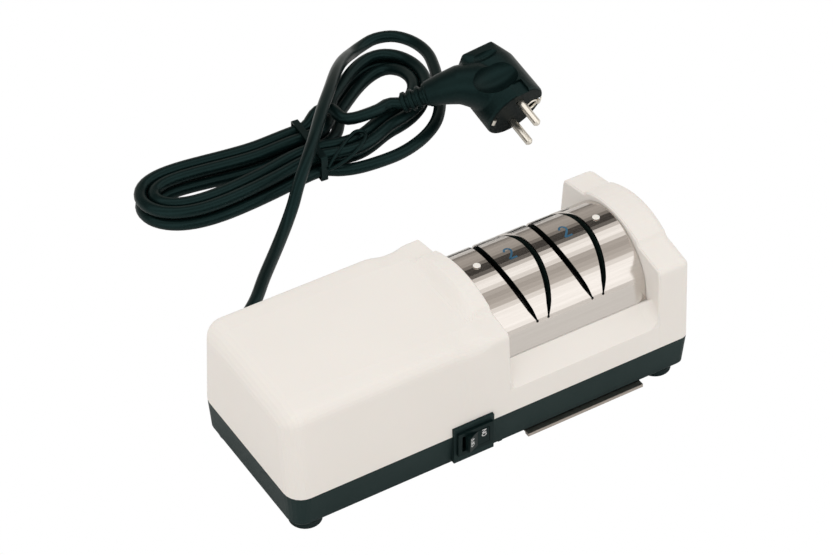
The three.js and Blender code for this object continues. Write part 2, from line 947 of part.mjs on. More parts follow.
function everySlot(make) {
  return [stageOneX, stageTwoX].flatMap((stageX) => [-1, 1].map((side) => make(stageX, side)));
}

const pinSpots = [pinLeftX, pinRightX];

function steelCover() {
  const outer = prismX(archOutline(coverRadius, flangeY, flangeZ), coverX0, coverX1);
  const innerY = flangeY - coverThickness;
  const innerOutline = [
    [innerY, flangeZ - wall],
    ...archOutline(coverRadius - coverThickness, innerY, flangeZ),
    [-innerY, flangeZ - wall],
  ];
  const sheet = outer.subtract(prismX(innerOutline, coverX0 - wall, coverX1 + wall));
  const widths = [
    [slotLowZ, slotLowHalf],
    [slotMidZ, slotMidHalf],
    [slotHighZ, slotHighHalf],
    [slotTopZ, slotHighHalf],
  ];
  const slots = everySlot((stageX, side) => slotPrism(stageX, side, widths));
  const eyes = everySlot((stageX, side) => {
    const centre = [slotCentre(stageX, side, slotLowZ), 0, slotLowZ];
    return cylinder('y', centre, slotEyeRadius, -halfWidth, halfWidth, smallSides / 2);
  });
  const holes = pinSpots.map((x) => {
    return cylinder('z', [x, 0, spindleZ], pinRadius + gap, 0, halfWidth, smallSides);
  });
  return cut(sheet, [...slots, ...eyes, ...holes]);
}

function coverPin(x) {
  const head = spindleZ + coverRadius + gap;
  return turned('z', [x, 0, 0], [
    [head - pinLength, 0],
    [head - pinLength, pinRadius],
    [head, pinRadius],
    [head, pinHeadRadius],
    [head + pinHeadHeight / 2, pinHeadRadius],
    [head + pinHeadHeight, pinRadius],
    [head + pinHeadHeight, 0],
  ], smallSides);
}

function slotGuide() {
  const radius = coverRadius - coverThickness - gap;
  const outline = archOutline(radius, flangeY - coverThickness - gap, ledgeZ + gap);
  const legs = [
    [-guideLegInnerY, ledgeZ + gap],
    [-guideLegInnerY, guideMiddleZ],
    [guideLegInnerY, guideMiddleZ],
    [guideLegInnerY, ledgeZ + gap],
  ];
  const block = prismX([...outline, ...legs], guideX0, guideX1);
  const widths = [[slotLowZ, guideSlotHalf], [slotTopZ, guideSlotHalf]];
  const slots = everySlot((stageX, side) => slotPrism(stageX, side, widths));
  const pockets = [stageOneX, stageTwoX].map((x) => {
    const from = x - discPocketHalf;
    return cylinder('x', [0, 0, spindleZ], discPocketRadius, from, x + discPocketHalf, circleSides);
  });
  const hollowSpans = [[hollowOneX0, hollowOneX1], [hollowTwoX0, hollowTwoX1], [hollowThreeX0, hollowThreeX1]];
  const hollows = hollowSpans.map(([x0, x1]) => {
    return box(x0, x1, -guideHollowHalfY, guideHollowHalfY, ledgeZ - wall, guideRoofZ);
  });
  const holes = pinSpots.map((x) => {
    return cylinder('z', [x, 0, spindleZ], pinRadius + gap, 0, halfWidth, smallSides);
  });
  return cut(block, [...slots, ...pockets, ...hollows, ...holes]);
}

// Spindle

const spindleCentre = [0, 0, spindleZ];

function spindleShaft() {
  return turned('x', spindleCentre, [
    [shaftLeftX, 0],
    [shaftLeftX, journalRadius],
    [shaftStepLeftX, journalRadius],
    [shaftStepLeftX, shaftRadius],
    [collarX0, shaftRadius],
    [collarX0, collarRadius],
    [stageOneX - discOuterX - gap, collarRadius],
    [stageOneX - discOuterX - gap, shaftRadius],
    [shaftStepRightX, shaftRadius],
    [shaftStepRightX, journalRadius],
    [shaftRightX, journalRadius],
    [shaftRightX, 0],
  ], smallSides);
}

function grindingDisc(stageX, side) {
  const outer = stageX + side * discOuterX;
  const inner = stageX + side * discInnerX;
  const hub = stageX + side * gap / 2;
  const bore = shaftRadius + gap;
  const xs = [outer, inner].sort((a, b) => a - b);
  const hubXs = [outer, hub].sort((a, b) => a - b);
  const face = ring('x', spindleCentre, bore, discRadius, xs[0], xs[1]);
  return face.add(ring('x', spindleCentre, bore, discHubRadius, hubXs[0], hubXs[1]));
}

function spacer(x0, x1) {
  return ring('x', spindleCentre, shaftRadius + gap, tubeRadius, x0, x1, smallSides);
}

function spindleNut() {
  const x0 = lastTubeEndX + gap;
  const hexagon = cylinder('x', spindleCentre, nutRadius, x0, x0 + nutThickness, 6);
  return hexagon.subtract(cylinder('x', spindleCentre, shaftRadius + gap, x0 - wall, x0 + nutThickness + wall));
}

function rotorCore() {
  return ring('x', spindleCentre, journalRadius + gap, rotorRadius, stackX0, stackX1);
}

function coolingFan() {
  const plate = cylinder('x', [0, 0, 0], fanRadius, fanX1 - fanPlateThickness, fanX1);
  const hub = cylinder('x', [0, 0, 0], fanHubRadius, fanX0, fanX1, smallSides);
  const half = fanBladeThickness / 2;
  const blade = box(fanX0, fanX1 - half, tubeRadius, fanRadius - half, -half, half);
  const blades = [];
  for (let i = 0; i < fanBladeCount; i += 1) blades.push(blade.rotate([360 * i / fanBladeCount, 0, 0]));
  const bore = cylinder('x', [0, 0, 0], journalRadius + gap, fanX0 - wall, fanX1 + wall, smallSides);
  return joined([plate, hub, ...blades]).subtract(bore).translate(spindleCentre);
}

function bearing(x0) {
  return ring('x', spindleCentre, journalRadius + gap, bearingRadius, x0, x0 + bearingWidth, smallSides * 2);
}

function endBearingHolder() {
  const block = box(holderX0, holderX1, -holderHalfY, holderHalfY, holderBottom, holderTop);
  return block.subtract(cylinder('x', spindleCentre, bearingRadius + gap, holderX0 - wall, holderX1 + wall));
}

// Motor

function aboutSpindle(x0, x1, y0, y1, dz0, dz1) {
  return box(x0, x1, y0, y1, spindleZ + dz0, spindleZ + dz1);
}

const boltSpots = [-1, 1].map((side) => [0, side * boltY, spindleZ + side * boltZ]);

function boltHoles(x0, x1) {
  return boltSpots.map((centre) => cylinder('x', centre, boltRadius + gap, x0, x1, smallSides / 2));
}

function statorStack() {
  const core = aboutSpindle(stackX0, stackX1, -stackHalfY, limbY1, -stackHalfZ, stackHalfZ);
  const bore = cylinder('x', spindleCentre, rotorRadius + airGap, stackX0 - wall, stackX1 + wall);
  const window = aboutSpindle(stackX0 - wall, stackX1 + wall, stackHalfY, limbY0, -windowHalfZ, windowHalfZ);
  const half = shadingHalfThickness + gap;
  const shadingHoles = [-1, 1].flatMap((side) => [-1, 1].map((level) => {
    const y = side * shadingY;
    const dz = level * shadingHalfZ;
    return aboutSpindle(stackX0 - wall, stackX1 + wall, y - half, y + half, dz - half, dz + half);
  }));
  return cut(core, [bore, window, ...shadingHoles, ...boltHoles(stackX0 - wall, stackX1 + wall)]);
}

function coilBobbin() {
  const flangeZ1 = windowHalfZ - gap;
  const inner = aboutSpindle(stackX0 - gap, stackX1 + gap, limbY0 - gap, limbY1 + gap, -stackHalfZ, stackHalfZ);
  const around = gap + bobbinWall;
  const tube = aboutSpindle(
    stackX0 - around, stackX1 + around, limbY0 - around, limbY1 + around, -flangeZ1, flangeZ1,
  );
  const x0 = stackX0 - bobbinReachX;
  const x1 = stackX1 + bobbinReachX;
  const flangeZ0 = flangeZ1 - bobbinFlange;
  const low = aboutSpindle(x0, x1, bobbinY0, bobbinY1, -flangeZ1, -flangeZ0);
  const high = aboutSpindle(x0, x1, bobbinY0, bobbinY1, flangeZ0, flangeZ1);
  return joined([tube, low, high]).subtract(inner);
}

function coilWinding() {
  const around = gap * 2 + bobbinWall;
  const halfZ = windowHalfZ - bobbinFlange - gap * 2;
  const inner = aboutSpindle(
    stackX0 - around, stackX1 + around, limbY0 - around, limbY1 + around, -stackHalfZ, stackHalfZ,
  );
  const x0 = stackX0 - bobbinReachX + windingShy;
  const x1 = stackX1 + bobbinReachX - windingShy;
  return aboutSpindle(x0, x1, bobbinY0 + windingShy, bobbinY1 - windingShy, -halfZ, halfZ).subtract(inner);
}

function shadingRing(side) {
  const half = shadingHalfThickness;
  const y0 = side * shadingY - half;
  const y1 = side * shadingY + half;
  const outerZ = shadingHalfZ + half;
  const innerZ = shadingHalfZ - half;
  const outerX = gap + half * 2;
  const outer = aboutSpindle(stackX0 - outerX, stackX1 + outerX, y0, y1, -outerZ, outerZ);
  return outer.subtract(aboutSpindle(stackX0 - gap, stackX1 + gap, y0 - wall, y1 + wall, -innerZ, innerZ));
}

function bracketFace(side) {
  return side < 0 ? stackX0 - gap : stackX1 + gap;
}

function motorBracket(side) {
  const face = bracketFace(side);
  const footZ = stackHalfZ - gap;
  const kneeZ = footZ - bracketFoot;
  const bend = bracketBend;
  const far = face + side * bracketReach;
  const half = [
    [face, footZ],
    [face, kneeZ],
    [far, bracketShoulder],
  ];
  const outer = [
    [far + side * bracketThickness, bracketShoulder + bend],
    [face + side * bracketThickness, kneeZ + bend],
    [face + side * bracketThickness, footZ],
  ];
  const lower = ([x, dz]) => [x, -dz];
  const outline = [...half, ...half.map(lower).reverse(), ...outer.map(lower).reverse(), ...outer];
  const raised = outline.map(([x, dz]) => [x, spindleZ + dz]);
  const strip = prismY(raised, -bracketHalfWidth, bracketHalfWidth);
  const xs = [face - side * wall, far + side * overrun].sort((a, b) => a - b);
  return cut(strip, [
    cylinder('x', spindleCentre, bearingRadius + gap, xs[0], xs[1]),
    ...boltHoles(xs[0], xs[1]),
  ]);
}

function bracketBearing(side) {
  const middle = bracketFace(side) + side * (bracketReach + bracketThickness / 2);
  return bearing(middle - bearingWidth / 2);
}

function motorScrew(centre) {
  const left = bracketFace(-1) - bracketThickness - gap;
  const right = bracketFace(1) + bracketThickness + gap;
  return turned('x', centre, [
    [left - boltHeadThickness, 0],
    [left - boltHeadThickness, boltHeadRadius],
    [left, boltHeadRadius],
    [left, boltRadius],
    [right, boltRadius],
    [right, boltHeadRadius],
    [right + boltHeadThickness, boltHeadRadius],
    [right + boltHeadThickness, 0],
  ], smallSides / 2);
}

function motorPad(level) {
  const near = spindleZ + level * (stackHalfZ + gap);
  const zs = [near, near + level * padThickness].sort((a, b) => a - b);
  const x = (stackX0 + stackX1) / 2;
  return box(x - padHalfX, x + padHalfX, -padY1, padY1, zs[0], zs[1]);
}

// Tray, magnet, strain relief and clamp

function filingsTray() {
  const plateTop = trayBottom + trayPlate;
  const back = trayBackY - gap;
  const hemY = -trayFrontY + trayHemDepth;
  const slab = box(trayX0, trayX1, -trayFrontY, back, trayBottom, trayTop);
  const dish = box(trayX0 + trayRim, trayX1 - trayRim, hemY, back - trayRim, plateTop, trayTop + wall);
  const hem = box(trayX0, trayX1, -trayFrontY, hemY, trayHemBottom, plateTop);
  return slab.subtract(dish).add(hem);
}

function filingsMagnet() {
  const bottom = floorTop + gap;
  return box(magnetX0, magnetX1, magnetY0, magnetY1, bottom, bottom + magnetHeight);
}

function strainRelief() {
  return turned('y', [reliefX, 0, reliefZ], [
    [reliefStubY, 0],
    [reliefStubY, reliefStubRadius],
    [reliefFlangeY0, reliefStubRadius],
    [reliefFlangeY0, reliefFlangeRadius],
    [reliefFlangeY1, reliefFlangeRadius],
    [reliefFlangeY1, reliefNeckRadius],
    [reliefCollarY0, reliefNeckRadius],
    [reliefCollarY0, reliefCollarRadius],
    [reliefCollarY1, reliefCollarRadius],
    [reliefCollarY1, reliefRootRadius],
    [reliefTipY, reliefTipRadius],
    [reliefTipY, 0],
  ], smallSides);
}

function cordClamp() {
  const z0 = clampPostTop + gap;
  const bar = box(reliefX - clampHalfX, reliefX + clampHalfX, clampY0, clampY1, z0, z0 + clampThickness);
  return cut(bar, clampSpots((x, y) => {
    return cylinder('z', [x, y, 0], clampPilotRadius, 0, z0 + clampThickness + wall, smallSides);
  }));
}

function clampScrew(x, y) {
  const under = clampPostTop + gap * 2 + clampThickness;
  return turned('z', [x, y, 0], [
    [clampPostTop - clampScrewDepth, 0],
    [clampPostTop - clampScrewDepth, clampScrewRadius],
    [under, clampScrewRadius],
    [under, clampScrewHeadRadius],
    [under + clampThickness / 2, clampScrewHeadRadius],
    [under + clampThickness / 2, 0],
  ], smallSides);
}

// Cords

function curveThrough(points) {
  const path = points.map((point) => new THREE.Vector3(...point));
  return new THREE.CatmullRomCurve3(path, false, 'centripetal');
}

function tube(curve, radius, sides, stepLength) {
  const outline = new THREE.Shape();
  for (let i = 0; i < sides; i += 1) {
    const angle = 2 * Math.PI * i / sides;
    const at = [radius * Math.cos(angle), radius * Math.sin(angle)];
    if (i) outline.lineTo(...at);
    else outline.moveTo(...at);
  }
  const count = Math.ceil(curve.getLength() / stepLength);
  const geometry = new THREE.ExtrudeGeometry(outline, { steps: count, bevelEnabled: false, extrudePath: curve });
  return geometryOf(solidOf(geometry));
}

// Plan of the hank's middle run: turn counts half turns, even ones round the left lobe.
// The right lobe fans out from the waist and sags to the side of the machine.
function hankBase(turn) {
  const left = Math.floor(turn) % 2 === 0;
  const share = turn - Math.floor(turn);
  const turnSide = left ? -1 : 1;
  const phi = turnSide * (1 / 2 - share) * Math.PI;
  const out = Math.cos(phi);
  const fanned = left ? 0 : out * out / (out + lobeFanShare);
  const belly = left ? leftLobeBelly * out * out : rightLobeFan * fanned;
  const sag = 4 * rightLobeSag * fanned * (1 - out);
  const u = (left ? leftLobeLength : rightLobeLength) * out;
  const v = Math.sin(phi) * (runMiddle + belly) - sag;
  const straight = left ? hankAngle + 180 : hankAngle;
  const lobe = left ? leftLobeAngle : rightLobeAngle;
  const angle = (straight + (lobe - straight) * eased(u / lobeTurnLength)) * radians;
  return new THREE.Vector2(
    hankX + u * Math.cos(angle) - turnSide * v * Math.sin(angle),
    hankY + u * Math.sin(angle) + turnSide * v * Math.cos(angle),
  );
}

const hankHalfTurns = 7;

function hankBeside(turn, run, z) {
  const small = 1 / 500;
  const inside = Math.min(Math.max(turn, small * 2), hankHalfTurns - small * 2);
  const ahead = hankBase(inside + small).sub(hankBase(inside - small)).normalize();
  const at = hankBase(inside).add(new THREE.Vector2(-ahead.y, ahead.x).multiplyScalar(run - runMiddle));
  return [at.x, at.y, z];
}

function hankPoint(turn) {
  const middle = hankHalfTurns / 2;
  const run = outerRun - (middle - Math.abs(turn - middle)) * cordPitch / 2;
  const [x, y] = hankBeside(turn, run, 0);
  const layer = eased((turn - middle) * 2 + 1 / 2);
  const away = Math.hypot(x - hankX, y - hankY);
  const lift = waistLift * (1 - eased((away - runMiddle) / waistLiftLength));
  return [x, y, cordRadius + lift + layer * cordPitch];
}

function alongWaist(point, distance) {
  const angle = hankAngle * radians;
  return [point[0] + distance * Math.cos(angle), point[1] + distance * Math.sin(angle), point[2]];
}

const hankStart = alongWaist(hankPoint(0), hankStub);
const hankEnd = alongWaist(hankPoint(hankHalfTurns), hankStub);

function hankCurve() {
  const perHalf = hankSteps * 2;
  const points = [hankStart];
  for (let i = 0; i <= hankHalfTurns * perHalf; i += 1) points.push(hankPoint(i / perHalf));
  points.push(hankEnd);
  return curveThrough(points);
}

function cordHank() {
  const count = Math.round(hankSteps * hankHalfTurns / 2);
  const curve = hankCurve();
  const points = curve.getSpacedPoints(count);
  const rings = points.map((point, i) => {
    const ahead = points[Math.min(i + 1, count)].clone().sub(points[Math.max(i - 1, 0)]).normalize();
    const side = new THREE.Vector3(-ahead.y, ahead.x, 0).normalize();
    const up = ahead.clone().cross(side);
    return Array.from({ length: hankSides }, (_, k) => {
      const angle = 2 * Math.PI * k / hankSides;
      const out = side.clone().multiplyScalar(Math.cos(angle)).addScaledVector(up, Math.sin(angle));
      return point.clone().addScaledVector(out, cordRadius).toArray();
    });
  });
  return loft(rings, ([, y, z]) => new THREE.Vector2(y, z));
}

const plugMatrix = new THREE.Matrix4().compose(
  new THREE.Vector3(plugX, plugY, plugZ),
  new THREE.Quaternion().setFromEuler(new THREE.Euler(plugTilt * radians, 0, plugYaw * radians, 'ZYX')),
  new THREE.Vector3(1, 1, 1),
);

const plugFaceRadius = 17.4;
const plugRimRadius = 18;
const plugRimY = 1.2;
const plugBellyY = 9;
const plugShoulderY = 19;
const plugShoulderRadius = 15;
const plugBackY = 28;
const plugBackRadius = 8.5;
const neckStart = [-6, 16, 0];
const neckEnd = [-30, 27, -6];
const neckStartRadius = 12.5;
const neckEndRadius = 7;
const plugReliefTip = [-49.6, 40.8, -12.1];
const plugReliefRadius = 4.8;
const plugRibRadius = 6;
const plugRibLength = 4.5;
const plugRibCount = 3;
const clipReach = 15.2;
const clipThickness = 1;
const clipHalfWidth = 3;
const clipDepth = 14;

function inRow(local) {
  return new THREE.Vector3(...local).applyMatrix4(plugMatrix);
}

function leadCurve() {
  return curveThrough([
    [reliefX, reliefTipY + gap, reliefZ],
    [-86, 78, 14.3],
    [-84, 87, 11.4],
    [-79, 95.5, 7.6],
    [-71, 102.5, 4.8],
    [-61.5, 108, 3.8],
    [-52, 116, 3.8],
    [-38.4, 130.5, 3.8],
    [-17.4, 151.3, 3.9],
    [-5, 162.5, 7],
    [2.5, 168, 12.3],
    [10, 173.5, 18.6],
    [19.5, 181.5, 24.8],
    [33, 195, 28.6],
    [48, 212.5, 29.4],
    [65, 231.8, 27.3],
    [77, 246.5, 23.4],
    [88, 259.5, 17.6],
    [97.5, 269.5, 11.8],
    [106.5, 278, 6.2],
    [116, 283.6, 3.8],
    [127, 286, 3.8],
    [138, 282.5, 3.8],
    [145, 272.5, 3.8],
    [147, 258.5, 3.8],
    [143, 243.4, 3.8],
    [136, 227.5, 3.8],
    [127, 211, 3.8],
    [116, 198, 3.8],
    [101.5, 189, 3.8],
    [84, 184, 3.8],
    [66, 183.6, 4.1],
    [54, 185.4, 4.1],
    [45.4, 188.6, 4.2],
    alongWaist(hankStart, gap * 4),
    alongWaist(hankStart, gap),
  ]);
}

function tailCurve() {
  const tip = inRow(plugReliefTip);
  const ahead = inRow(neckEnd).sub(tip).normalize();
  const end = tip.clone().addScaledVector(ahead, -gap);
  const before = end.clone().addScaledVector(ahead, -cordPitch);
  return curveThrough([
    alongWaist(hankEnd, gap),
    alongWaist(hankEnd, gap * 4),
    [44.2, 223.5, 13.5],
    [53.6, 227.6, 17.2],
    [59.4, 222.7, 20.4],
    [62.6, 210.6, 19.6],
    [81.8, 206.7, 20.7],
    before.toArray(),
    end.toArray(),
  ]);
}

function cordTie() {
  const reach = outerRun + cordRadius + gap;
  const low = waistLift - gap;
  const high = cordRadius * 2 + waistLift + cordPitch + gap;
  const rounded = (half, bottom, top, radius) => {
    const corners = [[half, bottom], [half, top], [-half, top], [-half, bottom]];
    return corners.flatMap((corner, i) => {
      return roundedCorner(corners[(i + 3) % 4], corner, corners[(i + 1) % 4], radius, cornerSteps / 2);
    });
  };
  const outer = rounded(reach + tieThickness, low - tieThickness, high + tieThickness, tieRadius);
  const inner = rounded(reach, low, high, tieRadius - tieThickness);
  const band = prismX(outer, -tieHalfWidth, tieHalfWidth).subtract(prismX(inner, -wall, wall));
  return band.rotate([0, 0, hankAngle]).translate([hankX, hankY, 0]);
}

// Plug

function coneBetween(from, to, fromRadius, toRadius, sides) {
  const a = new THREE.Vector3(...from);
  const b = new THREE.Vector3(...to);
  const length = a.distanceTo(b);
  const geometry = new THREE.CylinderGeometry(toRadius, fromRadius, length, sides);
  const up = new THREE.Vector3(0, 1, 0);
  geometry.applyQuaternion(new THREE.Quaternion().setFromUnitVectors(up, b.clone().sub(a).normalize()));
  const middle = a.add(b).multiplyScalar(1 / 2);
  return solidOf(geometry.translate(middle.x, middle.y, middle.z));
}

function clipBoxes(shy, depth) {
  return [-1, 1].map((side) => {
    const xs = [side * (clipReach - shy), side * (clipReach + clipThickness + shy)].sort((a, b) => a - b);
    return box(xs[0], xs[1], -shy, depth + shy, -clipHalfWidth - shy, clipHalfWidth + shy);
  });
}

function earthStrap(shy) {
  const reach = clipReach + clipThickness;
  const half = clipHalfWidth - clipThickness + shy;
  const y1 = clipDepth + shy;
  return box(-reach - shy, reach + shy, clipDepth - clipThickness - shy, y1, -half, half);
}

function plugEarthStrip() {
  return joined([...clipBoxes(0, clipDepth), earthStrap(0)]);
}

function plugBody() {
  const shell = turned('y', [0, 0, 0], [
    [0, 0],
    [0, plugFaceRadius],
    [plugRimY, plugRimRadius],
    [plugBellyY, plugRimRadius],
    [plugShoulderY, plugShoulderRadius],
    [plugBackY, plugBackRadius],
    [plugBackY, 0],
  ], circleSides);
  const neck = coneBetween(neckStart, neckEnd, neckStartRadius, neckEndRadius, smallSides);
  const sleeve = coneBetween(neckEnd, plugReliefTip, neckEndRadius * 6 / 7, plugReliefRadius, smallSides);
  const from = new THREE.Vector3(...neckEnd);
  const to = new THREE.Vector3(...plugReliefTip);
  const ribs = [];
  for (let i = 0; i < plugRibCount; i += 1) {
    const a = from.clone().lerp(to, (i + 1 / 4) / plugRibCount);
    const b = from.clone().lerp(to, (i + 1 / 4) / plugRibCount + plugRibLength / from.distanceTo(to));
    ribs.push(coneBetween(a.toArray(), b.toArray(), plugRibRadius, plugRibRadius, smallSides));
  }
  const pinHoles = [-1, 1].map((side) => {
    const centre = [0, 0, side * plugPinSpacing];
    return cylinder('y', centre, plugPinRadius + gap, -wall, plugPinRoot + gap, smallSides);
  });
  const flats = clipBoxes(gap, clipDepth).map((recess, i) => {
    const side = i ? 1 : -1;
    const half = clipHalfWidth + gap;
    const xs = [side * (clipReach - gap), side * (plugRimRadius + wall)].sort((a, b) => a - b);
    return recess.add(box(xs[0], xs[1], -wall, clipDepth + gap, -half, half));
  });
  return cut(joined([shell, neck, sleeve, ...ribs]), [...pinHoles, ...flats, earthStrap(gap)]);
}

function plugPin(side) {
  return turned('y', [0, 0, side * plugPinSpacing], [
    [-plugPinLength, 0],
    [-plugPinLength, plugPinRadius / 2],
    [-plugPinLength + plugPinRadius / 2, plugPinRadius],
    [plugPinRoot, plugPinRadius],
    [plugPinRoot, 0],
  ], smallSides);
}

function addToPlug(name, solid, finish) {
  addPart(name, geometryOf(solid).applyMatrix4(plugMatrix), finish);
}

// Wires inside

const wireStartY = reliefStubY - gap;

function wireCordSwitch() {
  const x = switchX - terminalSpacing;
  const y = terminalY0 + terminalLength + gap;
  return curveThrough([
    [-87.6, wireStartY, reliefZ],
    [-87.6, 25, 14.6],
    [-82, 8, 10.4],
    [-64, -20, 9.6],
    [-38, -24, 9.6],
    [-25, -17, 12],
    [x, -19, 18.5],
    [x, y + 3, switchZ],
    [x, y, switchZ],
  ]);
}

function wireSwitchCoil() {
  const x = switchX + terminalSpacing;
  const y = terminalY0 + terminalLength + gap;
  return curveThrough([
    [x, y, switchZ],
    [x, y + 3, switchZ],
    [x, -10, 13],
    [-14, 12, 10],
    [-24, 31, 15],
    [-33, 37, 28],
    [-33.5, 37, 35],
    [-33.5, 37, spindleZ - windowHalfZ],
  ]);
}

function wireCordCoil() {
  return curveThrough([
    [-84.4, wireStartY, reliefZ],
    [-84.4, 25.5, 14.8],
    [-78, 23, 12.4],
    [-70.5, 28, 15],
    [-67, 35, 25],
    [-66, 36.5, 34],
    [-66, 36.5, spindleZ - windowHalfZ],
  ]);
}

// Assembly

addPart('upper_housing', upperHousing(), white());
addPart('base_shell', baseShell(), black());
addPart('steel_cover', steelCover(), steel());
addPart('cover_pin_left', coverPin(pinLeftX), white());
addPart('cover_pin_right', coverPin(pinRightX), white());
addPart('slot_guide', slotGuide(), black());
addPart('spindle_shaft', spindleShaft(), steel());
addPart('coarse_disc_left', grindingDisc(stageOneX, -1), iron());
addPart('coarse_disc_right', grindingDisc(stageOneX, 1), iron());
addPart('fine_disc_left', grindingDisc(stageTwoX, -1), iron());
addPart('fine_disc_right', grindingDisc(stageTwoX, 1), iron());
addPart('spacer_middle', spacer(stageOneX + discOuterX + gap, stageTwoX - discOuterX - gap), steel());
addPart('spacer_right', spacer(stageTwoX + discOuterX + gap, lastTubeEndX), steel());
addPart('spindle_nut', spindleNut(), steel());
addPart('rotor_core', rotorCore(), iron());
addPart('cooling_fan', coolingFan(), black());
addPart('end_bearing', bearing(endBearingX), steel());
addPart('end_bearing_holder', endBearingHolder(), black());
addPart('stator_stack', statorStack(), iron());
addPart('coil_bobbin', coilBobbin(), white());
addPart('coil_winding', coilWinding(), copper());
addPart('shading_ring_front', shadingRing(-1), copper());
addPart('shading_ring_rear', shadingRing(1), copper());
addPart('motor_bracket_left', motorBracket(-1), steel());
addPart('motor_bracket_right', motorBracket(1), steel());
addPart('bearing_left', bracketBearing(-1), steel());
addPart('bearing_right', bracketBearing(1), steel());
addPart('motor_screw_low', motorScrew(boltSpots[0]), steel());
addPart('motor_screw_high', motorScrew(boltSpots[1]), steel());
addPart('motor_pad_low', motorPad(-1), rubber());
addPart('motor_pad_high', motorPad(1), rubber());
addPart('switch_body', switchBody(), black());
addPart('switch_rocker', switchRocker(), black());
addPart('switch_terminal_left', switchTerminal(-1), copper());
addPart('switch_terminal_right', switchTerminal(1), copper());
addPart('filings_tray', filingsTray(), steel());
addPart('filings_magnet', filingsMagnet(), iron());
postSpots.forEach(([name, x, y]) => addPart('foot_' + name, footShape(x, y), rubber()));
postSpots.forEach(([name, x, y]) => addPart('housing_screw_' + name, housingScrew(x, y), steel()));
addPart('strain_relief', strainRelief(), rubber());
addPart('cord_clamp', cordClamp(), steel());
addPart('clamp_screw_left', clampScrew(reliefX - clampPostX, clampY), steel());
addPart('clamp_screw_right', clampScrew(reliefX + clampPostX, clampY), steel());
addPart('wire_cord_switch', tube(wireCordSwitch(), wireRadius, 8, wireRadius * 5), rubber());
addPart('wire_switch_coil', tube(wireSwitchCoil(), wireRadius, 8, wireRadius * 5), rubber());
addPart('wire_cord_coil', tube(wireCordCoil(), wireRadius, 8, wireRadius * 5), rubber());
addPart('cord_lead', tube(leadCurve(), cordRadius, cordSides, cordRadius * 3), rubber());
addPart('cord_hank', cordHank(), rubber());
addPart('cord_tail', tube(tailCurve(), cordRadius, cordSides, cordRadius * 3), rubber());
addPart('cord_tie', cordTie(), rubber());
addToPlug('plug_body', plugBody(), rubber());
addToPlug('plug_pin_upper', plugPin(1), steel());
addToPlug('plug_pin_lower', plugPin(-1), steel());
addToPlug('plug_earth_strip', plugEarthStrip(), steel());

// Least gap of the wound cord to itself, along its middle line.
function reportCord() {
  const every = cordRadius;
  const points = [leadCurve(), hankCurve(), tailCurve()].flatMap((curve) => {
    return curve.getSpacedPoints(Math.round(curve.getLength() / every));
  });
  const apart = Math.ceil(cordRadius * 2 * Math.PI / every);
  let least = Infinity;
  let where = [];
  for (let i = 0; i < points.length; i += 1) {
    for (let j = i + apart; j < points.length; j += 1) {
      const distance = points[i].distanceTo(points[j]);
      if (distance < least) {
        least = distance;
        where = [i, j, ...points[i].toArray(), ...points[j].toArray()];
      }
    }
  }
  const lengths = [leadCurve(), hankCurve(), tailCurve()].map((curve) => Math.round(curve.getLength()));
  console.log('cord lengths', lengths, 'least gap', least - cordRadius * 2, where.map(Math.round));
}

reportCord();

export default group;
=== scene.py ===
import json
import math

import bmesh
import bpy
from mathutils import Matrix, Vector
from mathutils.bvhtree import BVHTree

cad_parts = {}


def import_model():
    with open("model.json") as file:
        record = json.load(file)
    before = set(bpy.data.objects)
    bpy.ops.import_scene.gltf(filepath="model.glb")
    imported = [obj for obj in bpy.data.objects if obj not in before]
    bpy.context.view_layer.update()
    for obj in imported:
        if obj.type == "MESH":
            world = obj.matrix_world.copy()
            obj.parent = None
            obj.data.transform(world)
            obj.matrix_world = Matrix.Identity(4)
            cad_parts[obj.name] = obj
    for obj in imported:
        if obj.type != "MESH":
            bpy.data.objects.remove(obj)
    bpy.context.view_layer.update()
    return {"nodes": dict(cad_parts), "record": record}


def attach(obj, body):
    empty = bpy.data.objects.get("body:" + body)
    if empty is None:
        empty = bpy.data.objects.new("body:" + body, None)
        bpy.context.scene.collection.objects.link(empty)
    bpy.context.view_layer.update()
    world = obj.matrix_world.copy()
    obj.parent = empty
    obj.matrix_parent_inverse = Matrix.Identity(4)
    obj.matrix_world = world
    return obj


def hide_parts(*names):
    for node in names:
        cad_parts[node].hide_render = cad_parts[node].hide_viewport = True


# The scene is in metres; the tables of shapes below are in millimetres
MM = 0.001

# Camera in metres, solved from the straight edges of the body
cameraPlace = (-0.61722, -0.96981, 1.08969)
cameraRight = (0.85183, -0.52386, 0.0)
cameraUp = (0.34454, 0.56025, 0.75331)
cameraLens = 130.27
cameraSensor = 36.0

# Cord, near the route in the part's source and moved a little towards the photograph
cordRadius = 3.6
cordPitch = 7.72
cordStep = 3.2
cordSides = 18
spanSteps = 8
originShiftY = 3

# The hank lies in two lobes on either side of its waist, which has the tie round it. A lobe
# leaves the waist at its straight angle and turns to its own; belly and fan widen it, and sag
# bows it to one side
hankX = 37
hankY = 208
hankAngle = -4
hankHalfTurns = 7
hankSteps = 48
hankStub = 1.8
hankStubRun = 1.2
leftLobe = {
    "angle": 176.5, "straight": 176, "length": 100.5, "belly": 25, "fan": 0, "sag": -4,
}
rightLobe = {
    "angle": 27, "straight": -4, "length": 100, "belly": 0, "fan": 46, "sag": 10,
}
lobeFanShare = 0.2
lobeTurnLength = 45
outerRun = 15.3
runMiddle = 9.5
waistLift = 1.6
waistLiftLength = 26

# The two ends: the tip of the strain relief on the body, and the plug
plugPlace = (151, 168, 18.2)
plugTilt = 19.8
plugYaw = 6.3
plugNeckEnd = (-30, 27, -6)
plugReliefTip = (-49.6, 40.8, -12.1)

